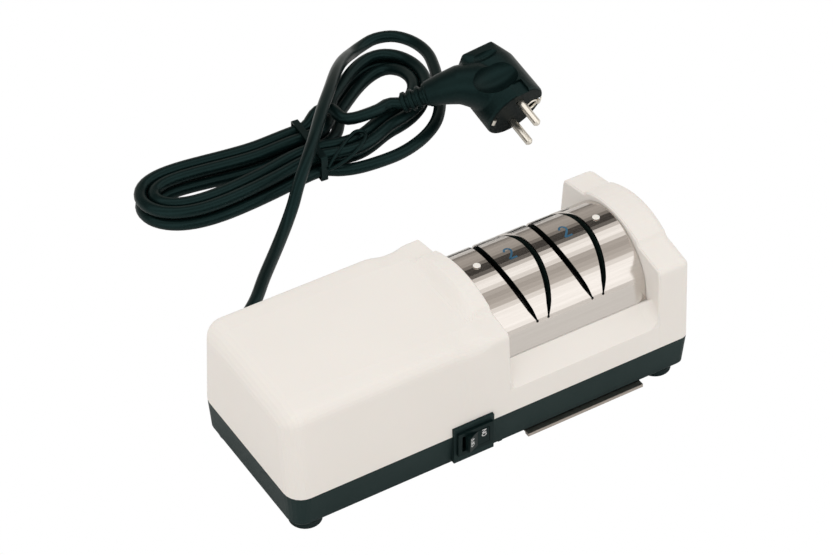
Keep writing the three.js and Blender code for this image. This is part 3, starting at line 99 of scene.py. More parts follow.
# From the strain relief to the waist of the hank
leadPoints = [
    (-86, 70, 15),
    (-86, 78, 14.3),
    (-84, 87, 11.4),
    (-79, 95.5, 7.6),
    (-71, 102.5, 4.8),
    (-60.6, 108, 3.8),
    (-50.4, 116, 3.8),
    (-36.6, 130.5, 3.8),
    (-15.6, 151.3, 3.9),
    (-3.4, 162.5, 7),
    (3.6, 168, 12.3),
    (10, 173.5, 18.6),
    (19.5, 181.5, 24.8),
    (33, 195, 28.6),
    (48, 212.5, 29.4),
    (65, 231.8, 27.3),
    (77, 246.5, 23.4),
    (88, 259.5, 17.6),
    (97.5, 269.5, 11.8),
    (106.5, 278, 6.2),
    (116, 283.6, 3.8),
    (127, 286, 3.8),
    (138, 282.5, 3.8),
    (145, 272.5, 3.8),
    (147, 258.5, 3.8),
    (143, 243.4, 3.8),
    (136, 227.5, 3.8),
    (127, 211, 3.8),
    (116, 198, 3.8),
    (101.5, 189, 3.8),
    (84, 184, 3.8),
    (66, 183.6, 4.1),
    (54, 185.4, 4.1),
    (45.4, 188.6, 4.2),
]

# Between the waist of the hank and the plug
tailPoints = [
    (44.2, 223.5, 13.5),
    (53.6, 227.6, 17.2),
    (59.4, 222.7, 20.4),
    (62.6, 210.6, 19.6),
    (81.8, 206.7, 20.7),
]


def eased(share):
    """From 0 to 1 with a soft start and a soft end."""
    t = min(max(share, 0), 1)
    return t * t * (3 - 2 * t)


def hankBase(turn):
    """The middle run of the hank on the worktop; each half turn goes round one lobe."""
    left = math.floor(turn) % 2 == 0
    share = turn - math.floor(turn)
    lobe = leftLobe if left else rightLobe
    side = -1 if left else 1
    phi = side * (0.5 - share) * math.pi
    out = math.cos(phi)
    fanned = out * out / (out + lobeFanShare)
    sag = side * 4 * lobe["sag"] * fanned * (1 - out)
    u = lobe["length"] * out
    spread = runMiddle + lobe["fan"] * fanned + lobe["belly"] * out * out
    v = math.sin(phi) * spread - sag
    turned = eased(u / lobeTurnLength) * (lobe["angle"] - lobe["straight"])
    angle = math.radians(lobe["straight"] + turned)
    x = hankX + u * math.cos(angle) - side * v * math.sin(angle)
    y = hankY + u * math.sin(angle) + side * v * math.cos(angle)
    return Vector((x, y))


def hankBeside(turn, run):
    """The same with the run's own distance from the middle of the lobe."""
    small = 0.002
    inside = min(max(turn, small * 2), hankHalfTurns - small * 2)
    ahead = (hankBase(inside + small) - hankBase(inside - small)).normalized()
    return hankBase(inside) + Vector((-ahead.y, ahead.x)) * (run - runMiddle)


def hankPoint(turn):
    """The middle of the cord in the hank: inwards and back out, in two layers."""
    middle = hankHalfTurns / 2
    run = outerRun - (middle - abs(turn - middle)) * cordPitch / 2
    at = hankBeside(turn, run)
    layer = eased((turn - middle) * 2 + 0.5)
    away = math.hypot(at.x - hankX, at.y - hankY)
    lift = waistLift * (1 - eased((away - runMiddle) / waistLiftLength))
    return Vector((at.x, at.y, cordRadius + lift + layer * cordPitch))


def alongWaist(point, distance):
    angle = math.radians(hankAngle)
    return point + Vector((math.cos(angle), math.sin(angle), 0)) * distance


def splineThrough(points, perSpan):
    """Centripetal curve through the points, as many small steps to each span."""
    p = [Vector(q) for q in points]
    p = [2 * p[0] - p[1], *p, 2 * p[-1] - p[-2]]
    out = []
    for i in range(1, len(p) - 2):
        t0 = 0.0
        t1 = t0 + (p[i] - p[i - 1]).length ** 0.5
        t2 = t1 + (p[i + 1] - p[i]).length ** 0.5
        t3 = t2 + (p[i + 2] - p[i + 1]).length ** 0.5
        for k in range(perSpan):
            t = t1 + (t2 - t1) * k / perSpan
            a1 = p[i - 1].lerp(p[i], (t - t0) / (t1 - t0))
            a2 = p[i].lerp(p[i + 1], (t - t1) / (t2 - t1))
            a3 = p[i + 1].lerp(p[i + 2], (t - t2) / (t3 - t2))
            b1 = a1.lerp(a2, (t - t0) / (t2 - t0))
            b2 = a2.lerp(a3, (t - t1) / (t3 - t1))
            out.append(b1.lerp(b2, (t - t1) / (t2 - t1)))
    return [*out, p[-2]]


def evenly(points, step):
    """The same route with all its points about one step apart."""
    lengths = [(b - a).length for a, b in zip(points, points[1:])]
    count = max(2, round(sum(lengths) / step))
    each = sum(lengths) / count
    out = [points[0]]
    gone = 0.0
    for a, b, length in zip(points, points[1:], lengths):
        while len(out) < count and (len(out) * each) <= gone + length:
            out.append(a.lerp(b, (len(out) * each - gone) / length))
        gone += length
    return [*out, points[-1]]


def plugMatrix():
    """Where the plug lies: lifted, turned about the upright axis and tilted."""
    yaw = Matrix.Rotation(math.radians(plugYaw), 4, "Z")
    tilt = Matrix.Rotation(math.radians(plugTilt), 4, "X")
    return Matrix.Translation(Vector(plugPlace)) @ (yaw @ tilt)


def cordRoute():
    """The whole cord from the strain relief to the plug, in metres."""
    startOut = alongWaist(hankPoint(0), hankStub)
    endOut = alongWaist(hankPoint(hankHalfTurns), hankStub)
    hank = [hankPoint(i / hankSteps) for i in range(hankHalfTurns * hankSteps + 1)]
    tip = plugMatrix() @ Vector(plugReliefTip)
    ahead = (plugMatrix() @ Vector(plugNeckEnd) - tip).normalized()
    lead = [*leadPoints, alongWaist(startOut, hankStubRun), startOut]
    tail = [
        endOut, alongWaist(endOut, hankStubRun), *tailPoints, tip - ahead * cordPitch, tip,
    ]
    whole = [
        *splineThrough(lead, spanSteps)[:-1],
        *splineThrough([startOut, *hank, endOut], 2)[:-1],
        *splineThrough(tail, spanSteps),
    ]
    shift = Vector((0, originShiftY, 0))
    return [(p + shift) * MM for p in evenly(whole, cordStep)]


# Shader helpers

def newMaterial(name):
    material = bpy.data.materials.new(name)
    material.use_nodes = True
    tree = material.node_tree
    tree.nodes.clear()
    output = tree.nodes.new("ShaderNodeOutputMaterial")
    shader = tree.nodes.new("ShaderNodeBsdfPrincipled")
    tree.links.new(shader.outputs["BSDF"], output.inputs["Surface"])
    return material, tree, shader


def setInputs(node, values):
    for key, value in values.items():
        node.inputs[key].default_value = value


def link(tree, source, target):
    tree.links.new(source, target)


def grainGroup():
    """Fine moulding grain: noise in object space as a normal and a spread of roughness."""
    group = bpy.data.node_groups.new("MouldingGrain", "ShaderNodeTree")
    face = group.interface
    for name, kind, start in (
        ("Scale", "NodeSocketFloat", 900.0),
        ("Depth", "NodeSocketFloat", 0.05),
        ("Roughness", "NodeSocketFloat", 0.4),
        ("Spread", "NodeSocketFloat", 0.05),
    ):
        face.new_socket(name, in_out="INPUT", socket_type=kind).default_value = start
    face.new_socket("Normal", in_out="OUTPUT", socket_type="NodeSocketVector")
    face.new_socket("Roughness", in_out="OUTPUT", socket_type="NodeSocketFloat")
    nodes = group.nodes
    source = nodes.new("NodeGroupInput")
    sink = nodes.new("NodeGroupOutput")
    place = nodes.new("ShaderNodeTexCoord")
    noise = nodes.new("ShaderNodeTexNoise")
    setInputs(noise, {"Detail": 3.0, "Roughness": 0.6})
    bump = nodes.new("ShaderNodeBump")
    setInputs(bump, {"Distance": 0.0004})
    spread = nodes.new("ShaderNodeMapRange")
    low = nodes.new("ShaderNodeMath")
    low.operation = "SUBTRACT"
    high = nodes.new("ShaderNodeMath")
    high.operation = "ADD"
    link(group, place.outputs["Object"], noise.inputs["Vector"])
    link(group, source.outputs["Scale"], noise.inputs["Scale"])
    link(group, noise.outputs["Fac"], bump.inputs["Height"])
    link(group, source.outputs["Depth"], bump.inputs["Strength"])
    link(group, source.outputs["Roughness"], low.inputs[0])
    link(group, source.outputs["Spread"], low.inputs[1])
    link(group, source.outputs["Roughness"], high.inputs[0])
    link(group, source.outputs["Spread"], high.inputs[1])
    link(group, noise.outputs["Fac"], spread.inputs["Value"])
    link(group, low.outputs["Value"], spread.inputs["To Min"])
    link(group, high.outputs["Value"], spread.inputs["To Max"])
    link(group, bump.outputs["Normal"], sink.inputs["Normal"])
    link(group, spread.outputs["Result"], sink.inputs["Roughness"])
    return group


def grained(name, settings, group):
    """A moulded, coated or cast finish: one colour with slight mottling and the grain group."""
    material, tree, shader = newMaterial(name)
    grain = tree.nodes.new("ShaderNodeGroup")
    grain.node_tree = group
    setInputs(grain, {
        "Scale": settings["grainScale"],
        "Depth": settings["grainDepth"],
        "Roughness": settings["roughness"],
        "Spread": settings["spread"],
    })
    place = tree.nodes.new("ShaderNodeTexCoord")
    mottle = tree.nodes.new("ShaderNodeTexNoise")
    setInputs(mottle, {"Scale": settings["mottleScale"], "Detail": 2.0})
    ramp = tree.nodes.new("ShaderNodeValToRGB")
    ramp.color_ramp.elements[0].position = 0.35
    ramp.color_ramp.elements[1].position = 0.65
    ramp.color_ramp.elements[0].color = (*settings["dark"], 1)
    ramp.color_ramp.elements[1].color = (*settings["light"], 1)
    link(tree, place.outputs["Object"], mottle.inputs["Vector"])
    link(tree, mottle.outputs["Fac"], ramp.inputs["Fac"])
    link(tree, ramp.outputs["Color"], shader.inputs["Base Color"])
    link(tree, grain.outputs["Roughness"], shader.inputs["Roughness"])
    link(tree, grain.outputs["Normal"], shader.inputs["Normal"])
    setInputs(shader, {
        "Specular IOR Level": settings.get("specular", 0.5),
        "Specular Tint": (*settings.get("tint", (1.0, 1.0, 1.0)), 1),
        "Subsurface Weight": settings.get("subsurface", 0.0),
    })
    if settings.get("subsurface"):
        setInputs(shader, {"Subsurface Scale": 0.002})
    return material


def brushed(name, settings):
    """Rolled or turned metal: streaks along one axis in colour, roughness and bump."""
    material, tree, shader = newMaterial(name)
    place = tree.nodes.new("ShaderNodeTexCoord")
    stretch = tree.nodes.new("ShaderNodeMapping")
    stretch.inputs["Scale"].default_value = settings["stretch"]
    streak = tree.nodes.new("ShaderNodeTexNoise")
    setInputs(streak, {"Scale": 1.0, "Detail": 6.0, "Roughness": 0.7})
    tint = tree.nodes.new("ShaderNodeMix")
    tint.data_type = "RGBA"
    tint.inputs["A"].default_value = (*settings["dark"], 1)
    tint.inputs["B"].default_value = (*settings["light"], 1)
    rough = tree.nodes.new("ShaderNodeMapRange")
    middle, spread = settings["roughness"], settings["spread"]
    setInputs(rough, {"To Min": middle - spread, "To Max": middle + spread})
    bump = tree.nodes.new("ShaderNodeBump")
    setInputs(bump, {"Strength": settings["depth"], "Distance": 0.0001})
    link(tree, place.outputs["Object"], stretch.inputs["Vector"])
    link(tree, stretch.outputs["Vector"], streak.inputs["Vector"])
    link(tree, streak.outputs["Fac"], tint.inputs["Factor"])
    link(tree, streak.outputs["Fac"], rough.inputs["Value"])
    link(tree, streak.outputs["Fac"], bump.inputs["Height"])
    link(tree, tint.outputs["Result"], shader.inputs["Base Color"])
    link(tree, rough.outputs["Result"], shader.inputs["Roughness"])
    link(tree, bump.outputs["Normal"], shader.inputs["Normal"])
    setInputs(shader, {"Metallic": 1.0})
    return material


grainedSettings = {
    "housingWhite": {
        "dark": (0.80, 0.765, 0.725), "light": (0.815, 0.78, 0.74), "mottleScale": 14.0,
        "grainScale": 1400.0, "grainDepth": 0.10, "roughness": 0.42, "spread": 0.04,
        "specular": 0.4, "subsurface": 0.04,
    },
    "baseBlack": {
        "dark": (0.008, 0.016, 0.016), "light": (0.011, 0.020, 0.020), "mottleScale": 30.0,
        "grainScale": 1800.0, "grainDepth": 0.25, "roughness": 0.5, "spread": 0.06,
        "specular": 0.22, "tint": (0.45, 0.9, 0.9),
    },
    "switchBlack": {
        "dark": (0.003, 0.008, 0.008), "light": (0.005, 0.011, 0.011), "mottleScale": 40.0,
        "grainScale": 2200.0, "grainDepth": 0.06, "roughness": 0.3, "spread": 0.04,
        "specular": 0.15, "tint": (0.45, 0.9, 0.9),
    },
    "guideBlack": {
        "dark": (0.003, 0.007, 0.006), "light": (0.005, 0.010, 0.009), "mottleScale": 40.0,
        "grainScale": 1500.0, "grainDepth": 0.15, "roughness": 0.6, "spread": 0.05,
        "specular": 0.2, "tint": (0.5, 0.9, 0.8),
    },
    "footRubber": {
        "dark": (0.008, 0.014, 0.014), "light": (0.012, 0.018, 0.018), "mottleScale": 60.0,
        "grainScale": 2500.0, "grainDepth": 0.3, "roughness": 0.7, "spread": 0.05,
        "specular": 0.2, "tint": (0.5, 0.9, 0.9),
    },
    "cordBlack": {
        "dark": (0.002, 0.006, 0.006), "light": (0.003, 0.009, 0.009), "mottleScale": 35.0,
        "grainScale": 700.0, "grainDepth": 0.06, "roughness": 0.32, "spread": 0.06,
        "specular": 0.24, "tint": (0.45, 0.9, 0.9),
    },
    "plugBlack": {
        "dark": (0.002, 0.006, 0.006), "light": (0.003, 0.008, 0.008), "mottleScale": 50.0,
        "grainScale": 1600.0, "grainDepth": 0.3, "roughness": 0.36, "spread": 0.06,
        "specular": 0.22, "tint": (0.45, 0.9, 0.9),
    },
    "plugFace": {
        "dark": (0.001, 0.003, 0.003), "light": (0.002, 0.004, 0.004), "mottleScale": 50.0,
        "grainScale": 1600.0, "grainDepth": 0.2, "roughness": 0.5, "spread": 0.05,
        "specular": 0.08, "tint": (0.45, 0.9, 0.9),
    },
    "bobbinCream": {
        "dark": (0.56, 0.52, 0.42), "light": (0.62, 0.58, 0.48), "mottleScale": 40.0,
        "grainScale": 900.0, "grainDepth": 0.1, "roughness": 0.5, "spread": 0.05,
    },
    "discGrit": {
        "dark": (0.045, 0.042, 0.04), "light": (0.12, 0.11, 0.10), "mottleScale": 900.0,
        "grainScale": 3000.0, "grainDepth": 0.9, "roughness": 0.75, "spread": 0.1,
        "specular": 0.3,
    },
    "magnetGrey": {
        "dark": (0.05, 0.05, 0.052), "light": (0.08, 0.08, 0.082), "mottleScale": 90.0,
        "grainScale": 1200.0, "grainDepth": 0.3, "roughness": 0.6, "spread": 0.08,
    },
    "numeralBlue": {
        "dark": (0.012, 0.08, 0.15), "light": (0.02, 0.11, 0.20), "mottleScale": 200.0,
        "grainScale": 900.0, "grainDepth": 0.05, "roughness": 0.5, "spread": 0.05,
    },
    "markWhite": {
        "dark": (0.62, 0.63, 0.63), "light": (0.70, 0.71, 0.71), "mottleScale": 200.0,
        "grainScale": 900.0, "grainDepth": 0.05, "roughness": 0.5, "spread": 0.05,
    },
}

brushedSettings = {
    "coverSteel": {
        "dark": (0.60, 0.565, 0.53), "light": (0.74, 0.71, 0.68), "stretch": (10.0, 700.0, 700.0),
        "roughness": 0.15, "spread": 0.02, "depth": 0.03,
    },
    "trayZinc": {
        "dark": (0.50, 0.45, 0.40), "light": (0.62, 0.57, 0.52), "stretch": (20.0, 600.0, 600.0),
        "roughness": 0.34, "spread": 0.06, "depth": 0.10,
    },
    "turnedSteel": {
        "dark": (0.46, 0.46, 0.46), "light": (0.62, 0.62, 0.62), "stretch": (2500.0, 300.0, 300.0),
        "roughness": 0.3, "spread": 0.08, "depth": 0.08,
    },
    "motorIron": {
        "dark": (0.16, 0.16, 0.17), "light": (0.34, 0.34, 0.35), "stretch": (2200.0, 60.0, 60.0),
        "roughness": 0.45, "spread": 0.1, "depth": 0.3,
    },
    "coilCopper": {
        "dark": (0.42, 0.15, 0.05), "light": (0.70, 0.30, 0.12), "stretch": (30.0, 30.0, 2600.0),
        "roughness": 0.35, "spread": 0.08, "depth": 0.4,
    },
    "contactPlate": {
        "dark": (0.72, 0.68, 0.60), "light": (0.86, 0.83, 0.76), "stretch": (400.0, 60.0, 400.0),
        "roughness": 0.2, "spread": 0.05, "depth": 0.05,
    },
}

slotMaterials = {
    "white_moulding": "housingWhite",
    "black_moulding": "baseBlack",
    "switch_moulding": "switchBlack",
    "foot_rubber": "footRubber",
    "cord_sheath": "cordBlack",
    "cover_steel": "coverSteel",
    "bobbin_moulding": "bobbinCream",
    "copper": "coilCopper",
    "motor_iron": "motorIron",
    "abrasive": "discGrit",
    "magnet": "magnetGrey",
    "contact_metal": "contactPlate",
    "machine_steel": "turnedSteel",
    "tray_steel": "trayZinc",
}

# Nodes whose finish differs from that of their slot
nodeMaterials = {"slot_guide": "guideBlack", "plug_body": "plugBlack"}


def makeMaterials():
    group = grainGroup()
    made = {}
    for name, settings in grainedSettings.items():
        made[name] = grained(name, settings, group)
    for name, settings in brushedSettings.items():
        made[name] = brushed(name, settings)
    return made


def setMaterial(piece, material):
    piece.data.materials.clear()
    piece.data.materials.append(material)


# Pieces

# Rounded edges: width in millimetres, segments and the least angle
edgeWidths = {
    "upper_housing": (0.6, 3, 28),
    "base_shell": (0.4, 2, 30),
    "switch_body": (0.5, 3, 30),
    "switch_rocker": (0.5, 3, 30),
    "steel_cover": (0.14, 1, 30),
    "filings_tray": (0.15, 2, 30),
    "foot_front_left": (0.5, 2, 40),
    "foot_front_right": (0.5, 2, 40),
    "foot_rear_left": (0.5, 2, 40),
    "foot_rear_right": (0.5, 2, 40),
}

# Edges that turn by more than these degrees stay sharp
nodeShadeAngle = 32
tubeShadeAngle = 50


def shadeByAngle(piece, degrees):
    mesh = piece.data
    mesh.polygons.foreach_set("use_smooth", [True] * len(mesh.polygons))
    mesh.set_sharp_from_angle(angle=math.radians(degrees))


def bevelEdges(piece, width, segments, degrees):
    bevel = piece.modifiers.new("edges", "BEVEL")
    bevel.width = width * MM
    bevel.segments = segments
    bevel.limit_method = "ANGLE"
    bevel.angle_limit = math.radians(degrees)
    bevel.harden_normals = True
    bevel.use_clamp_overlap = True


def addPiece(name, mesh, material, body="root"):
    piece = bpy.data.objects.new(name, mesh)
    bpy.context.scene.collection.objects.link(piece)
    setMaterial(piece, material)
    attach(piece, body)
    return piece


def dressFrame(frame, materials):
    """Gives every CAD node its finish and its edges."""
    slots = {row["node"]: row["material_slot"] for row in frame["record"]["subparts"]}
    for name, piece in frame["nodes"].items():
        chosen = nodeMaterials.get(name) or slotMaterials[slots[name]]
        setMaterial(piece, materials[chosen])
        shadeByAngle(piece, nodeShadeAngle)
        if name in edgeWidths:
            bevelEdges(piece, *edgeWidths[name])


def meshData(name, mesh):
    """The built mesh as data for an object; the builder is freed."""
    data = bpy.data.meshes.new(name)
    mesh.to_mesh(data)
    mesh.free()
    return data


def circle(count):
    """Cosine and sine of the angles that share out a full turn."""
    angles = [2 * math.pi * k / count for k in range(count)]
    return [(math.cos(angle), math.sin(angle)) for angle in angles]


def stepAt(points, i):
    """From the point before this one to the point after it."""
    return points[min(i + 1, len(points) - 1)] - points[max(i - 1, 0)]


def ringAt(mesh, centre, side, up, radius, sides):
    """A closed ring of vertices in the plane of side and up."""
    return [
        mesh.verts.new(centre + (side * along + up * across) * radius)
        for along, across in circle(sides)
    ]


def bridge(mesh, a, b):
    """Quads between two closed rings of vertices."""
    count = len(a)
    for k in range(count):
        mesh.faces.new((a[k], a[(k + 1) % count], b[(k + 1) % count], b[k]))


def loft(mesh, rings):
    """Joins the rings in turn and closes both ends."""
    for a, b in zip(rings, rings[1:]):
        bridge(mesh, a, b)
    mesh.faces.new(rings[0][::-1])
    mesh.faces.new(rings[-1])


def tubeAlong(name, path, radius, material, sides):
    """A round tube of quads along the points, closed at both ends."""
    mesh = bmesh.new()
    rings = []
    for i, point in enumerate(path):
        ahead = stepAt(path, i).normalized()
        side = Vector((-ahead.y, ahead.x, 0)).normalized()
        rings.append(ringAt(mesh, point, side, ahead.cross(side), radius, sides))
    loft(mesh, rings)
    bmesh.ops.recalc_face_normals(mesh, faces=mesh.faces)
    piece = addPiece(name, meshData(name, mesh), material)
    shadeByAngle(piece, tubeShadeAngle)
    return piece


def pathLength(path):
    return sum((b - a).length for a, b in zip(path, path[1:]))


def addCord(materials):
    path = cordRoute()
    cord = tubeAlong("mains_cord", path, cordRadius * MM, materials["cordBlack"], cordSides)
    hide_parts("cord_lead", "cord_hank", "cord_tail")
    print("stage cord", round(pathLength(path), 4))


def addRings(mesh, stations, sides=32):
    """Adds a closed lofted body through (centre, axis, radius) stations, in millimetres."""
    rings = []
    for centre, axis, radius in stations:
        axis = Vector(axis).normalized()
        side = axis.orthogonal().normalized()
        rings.append(ringAt(mesh, Vector(centre), side, axis.cross(side), radius, sides))
    loft(mesh, rings)


def addBlock(mesh, low, high):
    made = bmesh.ops.create_cube(mesh, size=1)["verts"]
    for vertex in made:
        for i in range(3):
            vertex.co[i] = high[i] if vertex.co[i] > 0 else low[i]


def addBall(mesh, centre, radii):
    made = bmesh.ops.create_icosphere(mesh, subdivisions=4, radius=1)["verts"]
    for vertex in made:
        vertex.co = Vector([centre[i] + vertex.co[i] * radii[i] for i in range(3)])


def scratchObject(name, mesh):
    bmesh.ops.recalc_face_normals(mesh, faces=mesh.faces)
    made = bpy.data.objects.new(name, meshData(name, mesh))
    bpy.context.scene.collection.objects.link(made)
    return made


def shapedMesh(name, source):
    """The source object's mesh with its modifiers in it; the object is removed."""
    bpy.context.view_layer.update()
    shown = source.evaluated_get(bpy.context.evaluated_depsgraph_get())
    data = bpy.data.meshes.new_from_object(shown)
    data.name = name
    bpy.data.objects.remove(source)
    return data


# Plug along its own axes: pins towards -Y, cord out at -X
plugFaceY = -1.2
plugBodyRadius = 19.4
plugBackY = 28
plugHullSides = 48
plugVoxel = 0.75
plugSoftSteps = 5
plugShadeAngle = 38
plugCutY = plugFaceY - 2

# The darker face takes the polygons that look towards -Y and lie near the face
faceNormalY = -0.8
faceEndY = plugFaceY + 2

# The round body as (y, radius), the square block behind it, and the neck as (centre, radius)
plugRound = [
    (plugFaceY, plugBodyRadius - 0.8),
    (plugFaceY + 1.2, plugBodyRadius),
    (plugBackY, plugBodyRadius - 0.4),
]
plugBlock = ((-14, 26, -13.5), (7.5, 39.5, 15))
plugNeck = [
    ((-6, 16, 4), 15),
    ((-15, 23.5, 6), 13.4),
    ((-23, 28.3, 4.6), 11.3),
    ((-31, 31.8, 1), 9.2),
    ((-38, 35, -3.5), 7.6),
]

# The earth socket's middle as (x, z), and its section as (radius, depth behind the rim)
socketPlace = (11.6, -0.6)
socketRimY = plugFaceY - 0.45
socketSides = 24
socketShadeAngle = 40
socketSection = [(4.4, 0.5), (3.9, 0), (3.4, 0), (3.1, 0.4), (3.1, 1.4), (4.4, 1.4)]

# Curled ends of the side strip: side, and the x of the curl's middle
stripCurls = ((-1, -16.1), (1, 17.2))
curlY = plugFaceY + 0.6
curlRadii = (1.5, 1.0)
curlHalfWidth = 2.3
curlSteps = 9

# Cut from the body: grip hollows as (centre, radii), bores for the pins and the socket as
# (x, z, radius, last y, sides), and blocks for the side strip's slots and the guide groove
plugHollows = [((-9, 15, 23.5), (17.5, 10, 12)), ((-4.5, 31.5, 21.5), (11, 4, 7))]
plugBores = [
    (0, -9.5, 2.7, 4.3, 20),
    (0, 9.5, 2.7, 4.3, 20),
    (*socketPlace, 4.2, 8, socketSides),
]
plugBlocks = [
    ((14.9, plugCutY, -3.3), (21, 14.3, 3.3)),
    ((-16.5, plugCutY, -3.3), (-14.9, 14.3, 3.3)),
    ((-4.4, plugCutY, 17.2), (4.4, 7.5, 22)),
]

# The ribbed sleeve on the neck's end: how far it starts inside the neck, core radii at neck
# and tip, and each rib as (distance along it, radius, loss of radius from rib to rib)
sleeveOverlap = 0.3
sleeveRadii = (5.6, 4.7)
sleeveSides = 24
ribCount = 4
ribStart = 0.35
ribSection = [(0, 6.2, 0), (0.4, 6.9, 0.2), (1.9, 6.8, 0.2), (2.3, 6.1, 0.2)]


def plugSkin():
    """The moulded body and neck as one soft skin."""
    hull = bmesh.new()
    for y, radius in plugRound:
        for along, across in circle(plugHullSides):
            hull.verts.new((radius * along, y, radius * across))
    for corner in range(8):
        hull.verts.new([plugBlock[corner >> i & 1][i] for i in range(3)])
    result = bmesh.ops.convex_hull(hull, input=hull.verts)
    inside = [item for item in result["geom_interior"] if isinstance(item, bmesh.types.BMVert)]
    bmesh.ops.delete(hull, geom=inside, context="VERTS")
    points = [Vector(centre) for centre, _ in plugNeck]
    addRings(hull, [
        (centre, stepAt(points, i), radius) for i, (centre, radius) in enumerate(plugNeck)
    ])
    made = scratchObject("plugSkin", hull)
    remesh = made.modifiers.new("skin", "REMESH")
    remesh.mode = "VOXEL"
    remesh.voxel_size = plugVoxel
    soften = made.modifiers.new("soften", "SMOOTH")
    soften.iterations = plugSoftSteps
    return shapedMesh("plugSkin", made)


def plugCuts():
    """What is cut from the skin, as one object."""
    cuts = bmesh.new()
    for hollow in plugHollows:
        addBall(cuts, *hollow)
    for x, z, radius, lastY, sides in plugBores:
        addRings(cuts, [((x, y, z), (0, 1, 0), radius) for y in (plugCutY, lastY)], sides)
    for block in plugBlocks:
        addBlock(cuts, *block)
    return scratchObject("plugCuts", cuts)


def addCurl(mesh, side, middle):
    """One end of the side strip, curled over beside the plug's face."""
    outer, inner = curlRadii
    sections = []
    for k in range(curlSteps + 1):
        angle = math.pi * k / curlSteps
        section = []
        for radius, end in ((outer, -1), (outer, 1), (inner, 1), (inner, -1)):
            x = middle + side * radius * math.cos(angle)
            y = curlY - radius * math.sin(angle)
            section.append(mesh.verts.new((x, y, end * curlHalfWidth)))
        sections.append(section)
    loft(mesh, sections)


def addEarthSocket(place, materials):
    """The bright earth socket in the plug's face and the curled ends of the side strip."""
    x, z = socketPlace
    mesh = bmesh.new()
    rings = []
    for radius, depth in socketSection:
        rings.append([
            mesh.verts.new((x + radius * along, socketRimY + depth, z + radius * across))
            for along, across in circle(socketSides)
        ])
    for a, b in zip(rings, rings[1:] + rings[:1]):
        bridge(mesh, a, b)
    for side, middle in stripCurls:
        addCurl(mesh, side, middle)
    data = shapedMesh("plug_earth_socket", scratchObject("plug_earth_socket_source", mesh))
    data.transform(place)
    socket = addPiece("plug_earth_socket", data, materials["contactPlate"])
    shadeByAngle(socket, socketShadeAngle)
    return socket


def addSleeve(place, materials):
    """The ribbed sleeve where the cord leaves the plug."""
    ribs = bmesh.new()
    tip = Vector(plugReliefTip)
    last, before = Vector(plugNeck[-1][0]), Vector(plugNeck[-2][0])
    neck = last - (last - before) * sleeveOverlap
    ahead = (tip - neck).normalized()
    length = (tip - neck).length
    addRings(ribs, [
        (centre, ahead, radius) for centre, radius in zip((neck, tip), sleeveRadii)
    ], sleeveSides)
    for i in range(ribCount):
        start = neck + ahead * (length * (i + ribStart) / ribCount)
        addRings(ribs, [
            (start + ahead * along, ahead, radius - i * loss)
            for along, radius, loss in ribSection
        ], sleeveSides)
    data = shapedMesh("plug_sleeve", scratchObject("plug_sleeve_source", ribs))
    data.transform(place)
    sleeve = addPiece("plug_sleeve", data, materials["plugBlack"])
    shadeByAngle(sleeve, plugShadeAngle)
    return sleeve


def addPlug(materials):
    """The moulded plug with a darker face, its sleeve and its earth socket."""
    skin = bpy.data.objects.new("plugWhole", plugSkin())
    bpy.context.scene.collection.objects.link(skin)
    cuts = plugCuts()
    carve = skin.modifiers.new("carve", "BOOLEAN")
    carve.operation = "DIFFERENCE"
    carve.solver = "EXACT"
    carve.use_self = True
    carve.object = cuts
    data = shapedMesh("plug_shell", skin)
    bpy.data.objects.remove(cuts)
    place = Matrix.Scale(MM, 4) @ Matrix.Translation((0, originShiftY, 0)) @ plugMatrix()
    face = [
        polygon.index for polygon in data.polygons
        if polygon.normal.y < faceNormalY and polygon.center.y < faceEndY
    ]
    data.transform(place)
    plug = addPiece("plug_shell", data, materials["plugBlack"])
    data.materials.append(materials["plugFace"])
    for index in face:
        data.polygons[index].material_index = 1
    shadeByAngle(plug, plugShadeAngle)
    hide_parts("plug_body")
    addSleeve(place, materials).parent = plug
    addEarthSocket(place, materials).parent = plug
    print("stage plug", len(plug.data.polygons))
    return plug


# Loose end of the wire tie, folded back beside the waist of the hank
tieTail = [
    (37.5, 190.6, 8.5), (43, 188.6, 11), (52, 189.6, 13), (61, 193.2, 15),
    (66.5, 197.5, 16.2), (67.5, 201, 16.6), (64, 203.3, 16.9), (57, 200.5, 16.8),
    (49, 196, 15.6), (41.5, 192.4, 12.6), (38, 191, 9.8),
]
tieTailRadius = 1.15
tieTailSides = 12
tieTailSteps = 6


def addTieTail(materials):
    path = [p * MM for p in splineThrough(tieTail, tieTailSteps)]
    tail = tubeAlong("tie_tail", path, tieTailRadius * MM, materials["plugBlack"], tieTailSides)


# Marks, as strokes in a unit square
numeralTwo = [
    [
        (0.06, 0.74), (0.18, 0.91), (0.48, 1.0), (0.80, 0.90),
        (0.90, 0.70), (0.76, 0.48), (0.42, 0.24), (0.04, 0.0),
    ],
    [(0.0, 0.0), (1.0, 0.0)],
]
letterO = [[
    (0.5, 0), (0.12, 0.16), (0, 0.5), (0.12, 0.84), (0.5, 1),
    (0.88, 0.84), (1, 0.5), (0.88, 0.16), (0.5, 0),
]]
letterN = [[(0, 0), (0, 1)], [(0, 1), (1, 0)], [(1, 0), (1, 1)]]
letterF = [[(0, 0), (0, 1)], [(0, 1), (1, 1)], [(0, 0.52), (0.8, 0.52)]]
markLift = 0.04
curveSteps = 4
barSteps = 6

